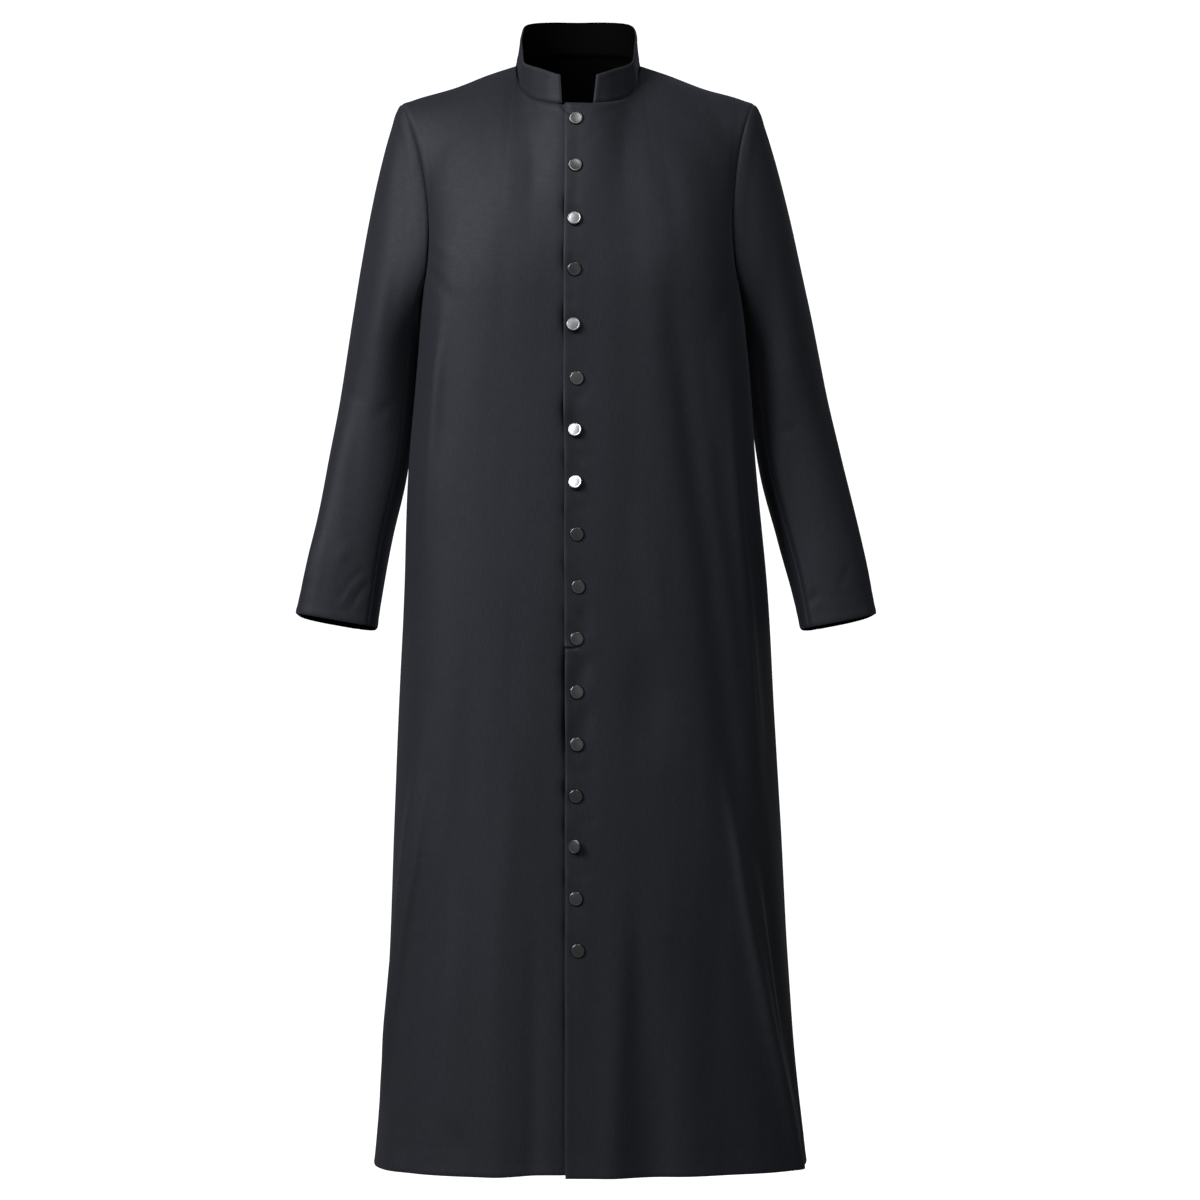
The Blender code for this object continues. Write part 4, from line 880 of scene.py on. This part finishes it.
def armhole_angle(level, back):
    """Ring angle of the armhole's edge at a level above the underarm."""
    w = np.linspace(0.5, 1.0, 400) if back else np.linspace(0.0, 0.5, 400)
    a, l = armhole(w, 1)
    order = np.argsort(l)
    return np.interp(level, l[order], a[order])


def edge_angle(level, back):
    low = side_seam(np.minimum(level, 1.0))
    return np.where(level <= 1.0, low, armhole_angle(level, back))


def side_columns(level, k, back):
    edge = edge_angle(level, back)[:, None]
    start = 180.0 - NECK_DEG if back else NECK_DEG
    rows = start + (SIDE_SEAM_DEG - start) * k + (edge - SIDE_SEAM_DEG) * k**2.2
    even = start + (edge - start) * k
    near_top = step_up(level, 1.5, 2.0)[:, None]
    return rows + (even - rows) * near_top


def body_rows(skirt_count, chest_count, extra=()):
    """Levels from the hem to the top edge, closer together at both ends and
    round the lowest part of the armhole."""
    skirt = clustered(skirt_count, 0.0026, (True, False))
    near = 1.0 + 0.02 * np.linspace(0.0, 1.0, 9)[1:] ** 2
    chest = 1.02 + 0.98 * clustered(chest_count, 0.0095, (False, True))[1:]
    rows = np.concatenate([skirt, near, chest])
    for at in extra:
        keep = np.abs(rows - at) > 0.0045
        fine = at + np.array([-0.0036, -0.0026, -0.0018, -0.0012, -0.0007, -0.0003, 0.0, 0.0003, 0.0007, 0.0012, 0.0018, 0.0026, 0.0036])
        rows = np.sort(np.concatenate([rows[keep], fine]))
    return rows


def neck_allowance(point, normal, wear_and_painted_highlight, thick, angle):
    """Rows of cloth that run on behind the collar's wall at the neckline."""
    mag = np.abs(angle[-1])
    fold = np.minimum(mag, 180.0 - mag)
    at_neck = (1.0 - step_up(fold, NECK_DEG - 1.0, NECK_DEG))[:, None]
    centre = vec(0.0, NECK_SIDE_Y, 0.0)
    inward = unit((centre - point[-1]) * np.array([1.0, 1.0, 0.0]))
    rows = [point]
    open_part = (1.0 - step_up(fold, 3.6, 4.6)) * (mag < 90.0)
    for rise, back in ((0.0008, 0.0013), (0.0024, 0.0021), (0.0042, 0.0024)):
        lift = rise * (1.0 - open_part) + (-0.25 * rise) * open_part
        rows.append((point[-1] + (vec(0.0, 0.0, lift) + inward * back) * at_neck
                     + normal[-1] * -0.00003 * (1.0 - at_neck))[None])
    add = len(rows) - 1
    return (np.concatenate(rows), np.concatenate([normal, np.repeat(normal[-1:], add, axis=0)]),
            np.concatenate([wear_and_painted_highlight, np.repeat(wear_and_painted_highlight[-1:], add, axis=0)]),
            np.concatenate([thick, np.repeat(thick[-1:], add, axis=0)]))


def body_edges(grid, k_cols):
    along = run_length(grid, 1)
    down = run_length(grid, 0)
    return along, along[:, [-1]] - along, down, down[[-1], :] - down


def slack(down):
    """Lift of the lapping edge between the snaps, by place down the front."""
    total = np.zeros_like(down)
    for top, low, lift in EDGE_SLACK:
        mid, half = 0.5 * (top + low), 0.5 * (low - top)
        total += lift * np.exp(-(((down - mid) / (0.62 * half)) ** 2))
    return total * 0.001


def front_panel(name, side, mat):
    level = body_rows(212, 96, (CATCH_LEVEL,) if side > 0 else ())
    over_edge, under_edge = angle_at(LAP_EDGE_X, level), angle_at(UNDERLAP_X, level)
    near = over_edge if side > 0 else -under_edge
    if side > 0:
        inner_k = clustered(42, 0.0085, (True, False))
    else:
        # the right front is laid out finely where the lapping edge crosses it
        inner_k = np.concatenate([np.linspace(0.0, 0.235, 9), np.linspace(0.235, 0.365, 29)[1:], np.linspace(0.365, 1.0, 25)[1:]])
    outer_k = clustered(70, 0.0034, (False, True))[1:]
    inner = near[:, None] + (NECK_DEG - near[:, None]) * inner_k
    angle = np.concatenate([inner, side_columns(level, outer_k, False)], axis=1)
    lev = np.repeat(level[:, None], angle.shape[1], axis=1)
    lev[-1] -= 0.0006
    if side < 0:
        lev = lev + (UNDER_HEM_LIFT * (1.0 - step_up(angle, 6.0, 22.0)) / (UNDERARM_Z - HEM[0][1])
                     * np.clip(1.0 - lev / 0.04, 0.0, 1.0))
    angle = angle * side
    base = folded(angle, lev)
    normal = shell_normal(angle, lev)
    first, last, up, top = body_edges(base, angle.shape[1])
    across, down = seen(base)

    # distance to the sewn edges: armhole and side seam, neck and shoulder
    sewn = np.minimum(last, top)
    calm = step_up(sewn, 0.002, 0.016)
    move = strokes(BODY_STROKES, base, normal) * calm
    move = move + strokes(NOTCH_STROKES, base, normal)
    move = move + unrest(base) * step_up(sewn, 0.0, 0.010)
    move = move + seam_drop(last) + seam_drop(top, 0.0010, 0.0014)
    # pull of each snap on the cloth round it
    for x, z in SNAPS:
        far = np.hypot(base[..., 0] - x, base[..., 2] - z)
        move = move - 0.0007 * np.exp(-((far / 0.012) ** 2)) * (base[..., 1] < 0)
    if side > 0:
        lift = LAP_LIFT * (1.0 - step_up(base[..., 0], UNDERLAP_X + 0.003, LAP_RAMP_X))
        edge = np.exp(-((first / 0.010) ** 2))
        move = move + lift + slack(down) * edge
        # the pressed fold at the front edge and at the hem
        move = move - 0.0006 * np.exp(-((first / 0.0011) ** 2))
        move = move + 0.0003 * np.exp(-(((first - 0.004) / 0.003) ** 2))
        # catch of the flap under the eleventh snap
        reach = step_up(0.0165 - first, 0.0, 0.004)
        move = move - 0.0017 * np.exp(-(((down - 648.6) / 1.0) ** 2)) * reach
        move = move + 0.0008 * np.exp(-(((down - 645.8) / 1.6) ** 2)) * reach
        move = move + 0.0007 * np.exp(-(((down - 652.0) / 2.2) ** 2)) * reach
    else:
        # hollow beside the lapping edge where it stands off
        off = base[..., 0] - LAP_EDGE_X
        beside = np.exp(-(((off - 0.003) / 0.0085) ** 2))
        close_by = np.exp(-(((off - 0.0012) / 0.0030) ** 2))
        below = step_up(down, 640.0, 652.0)
        move = move - 1.3 * slack(down) * beside - 0.0006 * beside
        move = move - (0.8 * slack(down) + 0.0004 + 0.0008 * below) * close_by
    hem_fold = up
    move = move - 0.0007 * np.exp(-((hem_fold / 0.0012) ** 2)) + 0.0004 * np.exp(-(((hem_fold - 0.005) / 0.004) ** 2))
    # the line where the turned-up hem ends
    move = move - 0.00022 * np.exp(-(((hem_fold - 0.032) / 0.0028) ** 2))
    point = base + normal * move[..., None]
    if side > 0:
        # the lapping edge wanders a little, most below the eleventh snap
        sway = (-0.0012 * np.exp(-(((down - 340.0) / 90.0) ** 2)) + 0.0012 * step_up(down, 640.0, 652.0)
                + 0.0004 * np.sin(down / 23.0) * step_up(down, 150, 260))
        point[..., 0] += sway * np.exp(-((first / 0.020) ** 2))
    # lightening of colour near sewn edges and at the hem fold: partly edge wear, partly painted highlight
    wear_and_painted_highlight = np.maximum(np.exp(-((sewn / 0.0040) ** 2)) * 0.5, np.exp(-((up / 0.0022) ** 2)))
    if side > 0:
        # the lapping edge is painted lighter in bands down the front: a painted highlight where the edge catches the
        # light, with some edge wear
        lap_edge_wear_and_highlight = 0.25 + 0.55 * step_up(down, 120, 150) * (1.0 - step_up(down, 320, 380)) + 0.25 * step_up(down, 650, 700)
        wear_and_painted_highlight = np.maximum(wear_and_painted_highlight, lap_edge_wear_and_highlight * np.exp(-((first / 0.0016) ** 2)))
    # the wall is thinner at a sewn edge, so that neighbours don't meet
    thick = CLOTH * (0.45 + 0.55 * step_up(sewn, 0.0, 0.004))
    thick = thick + 0.0006 * np.exp(-((up / 0.010) ** 2))
    point, normal, wear_and_painted_highlight, thick = neck_allowance(point, normal, wear_and_painted_highlight, thick, angle)
    if side < 0:
        point, normal, wear_and_painted_highlight, thick = point[:, ::-1], normal[:, ::-1], wear_and_painted_highlight[:, ::-1], thick[:, ::-1]
    return cloth_piece(name, point, wall_normal(point, normal), thick[..., None], mat, INSIDE_PAINTED_SHADE, wear_and_painted_highlight, True)


def back_panel(name, mat):
    level = body_rows(150, 68)
    outer_k = clustered(58, 0.0034, (False, True))[1:]
    neck_k = np.linspace(0.0, 1.0, 26)[1:]
    side = side_columns(level, outer_k, True)[:, ::-1]
    mid = np.concatenate([[180.0 - NECK_DEG], 180.0 - NECK_DEG + NECK_DEG * neck_k])
    half = np.concatenate([side, np.repeat(mid[None, :], len(level), axis=0)], axis=1)
    angle = np.concatenate([half, -half[:, -2::-1]], axis=1)
    lev = np.repeat(level[:, None], angle.shape[1], axis=1)
    lev[-1] -= 0.0006
    base = folded(angle, lev)
    normal = shell_normal(angle, lev)
    first, last, up, top = body_edges(base, angle.shape[1])
    sewn = np.minimum(np.minimum(first, last), top)
    calm = step_up(sewn, 0.002, 0.020)
    move = strokes(BACK_STROKES, base, normal, True) * calm
    move = move + unrest(base) * step_up(sewn, 0.0, 0.010)
    move = move + seam_drop(first) + seam_drop(last) + seam_drop(top, 0.0010, 0.0014)
    move = move - 0.0007 * np.exp(-((up / 0.0012) ** 2)) + 0.0004 * np.exp(-(((up - 0.005) / 0.004) ** 2))
    move = move - 0.00022 * np.exp(-(((up - 0.032) / 0.0028) ** 2))
    point = base + normal * move[..., None]
    # lightening of colour near seams and the hem: partly edge wear, partly painted highlight
    wear_and_painted_highlight = np.maximum(np.exp(-((sewn / 0.0040) ** 2)) * 0.5, np.exp(-((up / 0.0022) ** 2)))
    thick = CLOTH * (0.45 + 0.55 * step_up(sewn, 0.0, 0.004)) + 0.0006 * np.exp(-((up / 0.010) ** 2))
    point, normal, wear_and_painted_highlight, thick = neck_allowance(point, normal, wear_and_painted_highlight, thick, angle)
    return cloth_piece(name, point, wall_normal(point, normal), thick[..., None], mat, INSIDE_PAINTED_SHADE, wear_and_painted_highlight, True)


# ------------------------------------------------------------ sleeves
def sleeve_panel(name, side, w0, w1, columns, mat):
    head = clustered(66, 0.0040, (True, False))
    arm = 1.0 + clustered(96, 0.0034, (False, True))[1:]
    level = np.concatenate([head, arm])
    k = clustered(columns, 0.004 if w1 - w0 > 0.5 else 0.010, (True, True))
    w = w0 + (w1 - w0) * k
    ww, lev = np.meshgrid(w, level)
    base = sleeve(ww, lev, side)
    normal = -side * unit(np.cross(sleeve(ww + 0.003, lev, side) - sleeve(ww - 0.003, lev, side),
                                   sleeve(ww, np.minimum(lev + 0.008, 2.0), side)
                                   - sleeve(ww, np.maximum(lev - 0.008, 0.0), side)))
    first, last = run_length(base, 1), None
    last = first[:, [-1]] - first
    down = run_length(base, 0)
    cuff = down[[-1], :] - down
    sewn = np.minimum(np.minimum(first, last), down)
    move = strokes(SLEEVE_STROKES, base, normal) * step_up(sewn, 0.001, 0.010)
    back = strokes(tuple(tuple((1200 + 2 * 0 - p[0], p[1], p[2], p[3] * 0.9) for p in line) for line in SLEEVE_STROKES),
                   base, normal, True) * step_up(sewn, 0.001, 0.010)
    move = move + back + unrest(base) * step_up(sewn, 0.0, 0.008)
    # sleeve head: eased cloth swells a little beyond the armhole seam
    crown = np.exp(-(((ww - 0.5) / 0.22) ** 2))
    move = move + crown * 0.0016 * np.exp(-(((down - 0.014) / 0.010) ** 2))
    ease = 0.00035 * np.sin(ww * 2 * np.pi * 23 + 1.3 * np.sin(ww * 40)) * np.exp(-(((down - 0.009) / 0.006) ** 2)) * crown
    move = move + ease
    move = move + seam_drop(first, 0.0009, 0.0014, 0.0003) + seam_drop(last, 0.0009, 0.0014, 0.0003)
    move = move + seam_drop(down, 0.0012, 0.0016, 0.0003)
    move = move - 0.0007 * np.exp(-((cuff / 0.0012) ** 2)) + 0.0005 * np.exp(-(((cuff - 0.005) / 0.004) ** 2))
    move = move - 0.00025 * np.exp(-(((cuff - 0.030) / 0.0025) ** 2))
    point = base + normal * move[..., None]
    hang = (CUFF_HANG_PLUS if side > 0 else CUFF_HANG_MINUS) * np.maximum(np.sin(2 * np.pi * (ww % 1.0)), 0.0) ** 0.7
    point[..., 2] -= hang * step_up(0.070 - cuff, 0.0, 0.070)
    # lightening of colour near seams and the cuff: partly edge wear, partly painted highlight
    wear_and_painted_highlight = np.maximum(np.exp(-((sewn / 0.0036) ** 2)) * 0.5, np.exp(-((cuff / 0.0022) ** 2)))
    thick = CLOTH * (0.45 + 0.55 * step_up(sewn, 0.0, 0.004)) + 0.0006 * np.exp(-((cuff / 0.010) ** 2))
    # rows run from the armhole down, so turn them to run upwards
    point, wear_and_painted_highlight, thick = point[::-1], wear_and_painted_highlight[::-1], thick[::-1]
    if side < 0:
        point, wear_and_painted_highlight, thick = point[:, ::-1], wear_and_painted_highlight[:, ::-1], thick[:, ::-1]
    # columns run round the sleeve so that the outer face has its normal outward
    face = grid_normal(point)
    centre = point.mean(axis=(0, 1))
    return cloth_piece(name, point, face, thick[..., None], mat, INSIDE_PAINTED_SHADE, wear_and_painted_highlight)


# ------------------------------------------------------------ collar
BAND_TOP_COLUMNS = ("plan", "rise")
BAND_TOP = ((0.0, 0.0), (15.0, 0.0), (28.0, 0.0018), (42.0, 0.0026), (54.0, 0.0006), (65.0, -0.0030), (78.0, -0.0026), (96.0, 0.0), (180.0, 0.0))


def collar_point(plan, k):
    plan = np.asarray(plan, dtype=float)
    mag = np.abs(plan)
    fore = np.radians(pick(NECK, NECK_COLUMNS, "angle", "lean_forward", mag, True))
    inn = np.radians(pick(NECK, NECK_COLUMNS, "angle", "lean_in", mag, True))
    band = pick(NECK, NECK_COLUMNS, "angle", "band", mag, True)
    way = unit(vec(-np.sign(plan) * np.sin(inn) * np.sin(np.radians(mag)), -np.sin(fore),
                   np.cos(fore) * np.cos(inn)))
    drop = pick(BAND_TOP, BAND_TOP_COLUMNS, "plan", "rise", mag, True)
    return neck_seam(plan) + way * (SEAM * 1.5 + (band - SEAM) * k)[..., None] + vec(0.0, 0.0, drop * k)


COLLAR_COLUMNS = ("plan", "width", "bulge_low", "bulge_top")
COLLAR_BENDS = (
    (-64.0, 4.5, 1.6, 1.6), (-40.0, 13.0, -0.7, -2.8), (-80.0, 7.0, -1.0, -1.6), (-102.0, 20.0, -0.8, -3.2),
    (67.0, 4.5, 1.4, 1.5), (43.0, 13.0, -0.6, -2.6), (84.0, 7.0, -0.9, -1.2), (30.0, 5.0, 0.5, 0.1), (-27.0, 5.0, 0.4, 0.3),
    (128.0, 11.0, 0.7, 0.5), (-121.0, 10.0, -0.6, 0.4), (118.0, 15.0, 0.0, 3.2), (-119.0, 15.0, 0.0, 3.6), (165.0, 12.0, -0.5, -0.3),
)


def collar_panel(name, mat):
    rows = clustered(16, 0.022, (True, True))
    half = NOTCH_DEG + (180.0 - NOTCH_DEG) * clustered(96, 0.0035, (True, False))
    plus = np.repeat(half[None, :], len(rows), axis=0)
    minus = plus.copy()
    free = np.clip(1.0 - (plus - NOTCH_DEG) / 22.0, 0.0, 1.0)
    plus = plus + (NOTCH_TOP_PLUS_DEG - NOTCH_DEG) * rows[:, None] * free
    minus = minus + (NOTCH_TOP_MINUS_DEG - NOTCH_DEG) * rows[:, None] * free
    plan = np.concatenate([plus, -minus[:, -2::-1]], axis=1)
    level = np.repeat(rows[:, None], plan.shape[1], axis=1)
    base = collar_point(plan, level)
    ahead = collar_point(plan + 0.5, level) - collar_point(plan - 0.5, level)
    ahead = np.where((np.abs(plan) > 179.0)[..., None], vec(-1.0, 0.0, 0.0), ahead)
    upward = collar_point(plan, level + 0.02) - collar_point(plan, level - 0.02)
    normal = unit(np.cross(ahead, upward))
    first, last, up, top = body_edges(base, plan.shape[1])
    move = np.zeros(level.shape)
    for at, width, low, high in COLLAR_BENDS:
        off = (plan - at + 180.0) % 360.0 - 180.0
        move = move + (low + (high - low) * level) * 0.001 * np.exp(-((off / width) ** 2))
    move = move + 0.6 * unrest(base)
    free_edge = np.minimum(np.minimum(first, last), top)
    move = move - 0.0009 * np.exp(-((free_edge / 0.0011) ** 2)) + 0.0004 * np.exp(-(((free_edge - 0.0038) / 0.0022) ** 2))
    move = move + seam_drop(up, 0.0008, 0.0014, 0.0005, 0.0045)
    # slight puckers where the band is sewn on
    move = move + 0.00018 * np.sin(plan / 2.3 + 2.0 * np.sin(plan / 11.0)) * np.exp(-((up / 0.006) ** 2))
    point = base + normal * move[..., None]
    # the band's free edges are painted lighter, a painted highlight along the rolled top edges with some edge wear, and
    # the sewn edge a little
    wear_and_painted_highlight = np.maximum(np.exp(-((free_edge / 0.0020) ** 2)), 0.3 * np.exp(-((up / 0.002) ** 2)))
    thick = 0.0016 - 0.0005 * np.exp(-((free_edge / 0.0012) ** 2)) - 0.0006 * np.exp(-((up / 0.002) ** 2))
    return cloth_piece(name, point, grid_normal(point), thick[..., None], mat, INSIDE_PAINTED_SHADE, wear_and_painted_highlight)


# ------------------------------------------------------------ snap caps
CAP_PROFILE = (
    # share of the radius, share of the height, from the axis outward
    (0.00, 0.860), (0.14, 0.858), (0.28, 0.850), (0.42, 0.836), (0.56, 0.815), (0.68, 0.790), (0.76, 0.772), (0.80, 0.765),
    (0.83, 0.772), (0.86, 0.790), (0.885, 0.800), (0.91, 0.795), (0.935, 0.770), (0.960, 0.715), (0.980, 0.630),
    (0.995, 0.500), (1.000, 0.380), (0.990, 0.300), (1.010, 0.250), (1.060, 0.220), (1.095, 0.170), (1.100, 0.080),
    (1.070, 0.010), (0.900, 0.000), (0.00, 0.00),
)
CAP_TILT_COLUMNS = ("towards_minus_x", "up", "painted_brightness")
# the third column sets how light each cap's metal is painted: painted highlight on the caps that catch the key, painted
# shade on the others
CAP_TILT = (
    (0, -6, 0.18), (0, -6, 0.24), (10, 5, 0.55), (2, -4, 0.22), (14, 10, 0.85), (4, -2, 0.45), (16, 12, 0.95),
    (16, 12, 0.95), (3, -3, 0.22), (2, -2, 0.30), (-2, -3, 0.26), (1, -2, 0.30), (4, -1, 0.34), (3, -4, 0.22),
    (34, -2, 0.35), (4, -2, 0.32), (2, -4, 0.24),
)


def cap_mesh(name, mat, base_mat):
    mesh = bpy.data.meshes.new(name + "_profile")
    points = [(r * CAP_RADIUS, 0.0, h * CAP_HEIGHT) for r, h in CAP_PROFILE]
    mesh.from_pydata(points, [(i, i + 1) for i in range(len(points) - 1)], [])
    obj = bpy.data.objects.new(name + "_profile", mesh)
    bpy.context.scene.collection.objects.link(obj)
    turn = obj.modifiers.new("turn", "SCREW")
    turn.axis = "Z"
    turn.angle = math.tau
    turn.steps = turn.render_steps = 64
    turn.use_merge_vertices = True
    turn.merge_threshold = 0.00001
    bpy.context.view_layer.update()
    done = bpy.data.meshes.new_from_object(obj.evaluated_get(bpy.context.evaluated_depsgraph_get()))
    bpy.data.objects.remove(obj)
    bpy.data.meshes.remove(mesh)
    done.name = name
    bm = bmesh.new()
    bm.from_mesh(done)
    bmesh.ops.remove_doubles(bm, verts=bm.verts[:], dist=0.00001)
    bmesh.ops.recalc_face_normals(bm, faces=bm.faces[:])
    if bm.calc_volume(signed=True) < 0:
        bmesh.ops.reverse_faces(bm, faces=bm.faces[:])
    bm.to_mesh(done)
    bm.free()
    done.shade_smooth()
    done.set_sharp_from_angle(angle=math.radians(55))
    done.materials.clear()
    done.materials.append(mat)
    done.materials.append(base_mat)
    # faces beyond the cap's radius take the near-black second material: dark metal of the skirt with a painted shadow
    # ring round the cap
    for face in done.polygons:
        rim = face.center
        face.material_index = 1 if math.hypot(rim.x, rim.y) > 0.999 * CAP_RADIUS else 0
    return done


def seat_caps(front):
    data = front.data
    tree = BVHTree.FromPolygons([v.co.copy() for v in data.vertices], [tuple(p.vertices) for p in data.polygons])
    made = []
    for i, (x, z) in enumerate(SNAPS):
        turn_x, turn_up, painted_brightness = CAP_TILT[i]
        # each cap's metal is painted lighter or darker by that column: painted highlight and painted shade
        grey = 0.10 + 0.66 * painted_brightness
        mat = metal(f"snap_metal_{i + 1:02d}", (grey * 0.965, grey * 0.985, grey), 0.27 + 0.03 * painted_brightness, i)
        hits = []
        for k in range(17):
            reach = CAP_RADIUS if k else 0.0
            a = math.tau * k / 16
            hit, normal, _, _ = tree.ray_cast(Vector((x + reach * math.cos(a), -1.0, z + reach * math.sin(a))), Vector((0, 1, 0)))
            hits.append((hit, normal))
        normal = sum((n for _, n in hits), Vector()).normalized()
        centre = hits[0][0]
        proud = max((h - centre).dot(normal) for h, _ in hits)
        tilt = (Matrix.Rotation(math.radians(-turn_x), 4, "Z") @ Matrix.Rotation(math.radians(-turn_up), 4, "X")).to_3x3()
        facing_way = (tilt @ normal).normalized()
        rise = CAP_RADIUS * math.sin(facing_way.angle(normal)) * 0.75
        cap = bpy.data.objects.new(f"cap_{i + 1:02d}", cap_mesh(f"cap_{i + 1:02d}", mat, SNAP_BASE_PAINTED_SHADOW))
        turn = facing_way.to_track_quat("Z", "Y")
        cap.matrix_world = (Matrix.Translation(centre + normal * (max(proud, 0.0) * 0.6 + rise - 0.0002))
                            @ turn.to_matrix().to_4x4())
        bpy.context.scene.collection.objects.link(cap)
        made.append(cap)
    return made


# ------------------------------------------------------------ build
left = front_panel("left_front_cloth", 1, TWILL["front_left"])
right = front_panel("right_front_cloth", -1, TWILL["front_right"])
rear = back_panel("back_cloth", TWILL["back"])
stand = collar_panel("collar_band", TWILL["collar"])
pieces = {"front_left": left, "front_right": right, "back": rear, "collar": stand}
for side, word in ((1, "left"), (-1, "right")):
    pieces[f"sleeve_{word}_upper"] = sleeve_panel(f"{word}_sleeve_upper_cloth", side, FOREARM_W, HIND_W, 92, TWILL["sleeves"])
    pieces[f"sleeve_{word}_under"] = sleeve_panel(f"{word}_sleeve_under_cloth", side, HIND_W - 1.0, FOREARM_W, 44, TWILL["sleeves"])
for node_name, piece in pieces.items():
    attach(piece, "root")
    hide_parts(node_name)
for i, cap in enumerate(seat_caps(left)):
    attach(cap, "root")
    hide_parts(f"snap_{i + 1:02d}")


def area(obj):
    """Area of one face of the wall."""
    mesh = obj.data
    sizes = np.zeros(len(mesh.polygons), dtype=np.float32)
    mesh.polygons.foreach_get("area", sizes)
    return float(sizes.sum()) / 2.0


# the cut of each piece, width and length before it was sewn
CUTS = {
    "front_left": ((0.42, 1.42), 0.490), "front_right": ((0.42, 1.42), 0.490), "back": ((0.86, 1.46), 1.020),
    "sleeve_left_upper": ((0.32, 0.70), 0.168), "sleeve_right_upper": ((0.32, 0.70), 0.166),
    "sleeve_left_under": ((0.15, 0.52), 0.060), "sleeve_right_under": ((0.15, 0.52), 0.060),
    "collar": ((0.42, 0.055), 0.0185),
}
for node_name, (flat, cut) in CUTS.items():
    print("cut", node_name, "made", round(area(pieces[node_name]), 4), "stated", cut, "of", round(flat[0] * flat[1], 4))

# ------------------------------------------------------------ room, light, camera
floor_mat = bpy.data.materials.new("floor_paper")
floor_mat.use_nodes = True
paper = floor_mat.node_tree.nodes["Principled BSDF"]
paper.inputs["Base Color"].default_value = (0.92, 0.92, 0.92, 1.0)
paper.inputs["Roughness"].default_value = 0.9
paper.inputs["Specular IOR Level"].default_value = 0.1
paper.inputs["Emission Color"].default_value = (1.0, 1.0, 1.0, 1.0)
paper.inputs["Emission Strength"].default_value = 1.0
sweep = bpy.data.meshes.new("floor")
# a round floor with a plain wall far off all round, so that each side can be seen
profile = [(3.0, -1.62), (6.0, -1.62), (8.0, -1.62)]
for i in range(1, 9):
    a = math.radians(90.0 * i / 8)
    profile.append((8.0 + 1.0 * math.sin(a), -0.62 - 1.0 * math.cos(a)))
profile += [(9.0, 3.0), (9.0, 7.0)]
around_count = 72
verts = [(0.0, 0.0, -1.62)]
for r, z in profile:
    for i in range(around_count):
        a = math.tau * i / around_count
        verts.append((r * math.cos(a), r * math.sin(a), z))
faces = [(0, 1 + i, 1 + (i + 1) % around_count) for i in range(around_count)]
for j in range(len(profile) - 1):
    for i in range(around_count):
        p, q = 1 + j * around_count + i, 1 + j * around_count + (i + 1) % around_count
        faces.append((p, p + around_count, q + around_count, q))
sweep.from_pydata(verts, [], faces)
sweep.shade_smooth()
sweep.materials.append(floor_mat)
floor = bpy.data.objects.new("floor", sweep)
bpy.context.scene.collection.objects.link(floor)
floor.visible_diffuse = False
floor.visible_glossy = False
floor.visible_shadow = False


def area_light(name, place, aim, size, power, colour=(1.0, 1.0, 1.0), tall=None):
    data = bpy.data.lights.new(name, "AREA")
    data.shape = "RECTANGLE"
    data.size = size
    data.size_y = tall or size
    data.energy = power
    data.color = colour
    lamp = bpy.data.objects.new(name, data)
    lamp.location = place
    lamp.rotation_euler = (Vector(aim) - Vector(place)).to_track_quat("-Z", "Y").to_euler()
    bpy.context.scene.collection.objects.link(lamp)
    return lamp


area_light("key", (-2.8, -2.5, 1.6), (-0.05, 0.0, -0.45), 2.2, 126.0, (0.975, 0.985, 1.0))
area_light("top", (0.45, -1.95, 1.35), (0.08, 0.0, -0.15), 0.9, 10.0, (0.975, 0.985, 1.0))
area_light("fill", (1.4, -3.8, -0.6), (0.0, 0.0, -0.5), 1.6, 1.5, (0.975, 0.985, 1.0))
world = bpy.data.worlds.new("room")
bpy.context.scene.world = world
world.use_nodes = True
world.node_tree.nodes["Background"].inputs[0].default_value = (1.0, 1.0, 1.0, 1.0)
world.node_tree.nodes["Background"].inputs[1].default_value = 0.085

eye = bpy.data.cameras.new("eye")
eye.sensor_width = 36.0
eye.lens = 106.3
eye.clip_end = 50.0
camera = bpy.data.objects.new("eye", eye)
camera.location = (VIEW_X, -VIEW_Y, VIEW_Z)
camera.rotation_euler = (math.radians(90.0), 0.0, 0.0)
bpy.context.scene.collection.objects.link(camera)
bpy.context.scene.camera = camera
bpy.context.scene.view_settings.view_transform = "Standard"
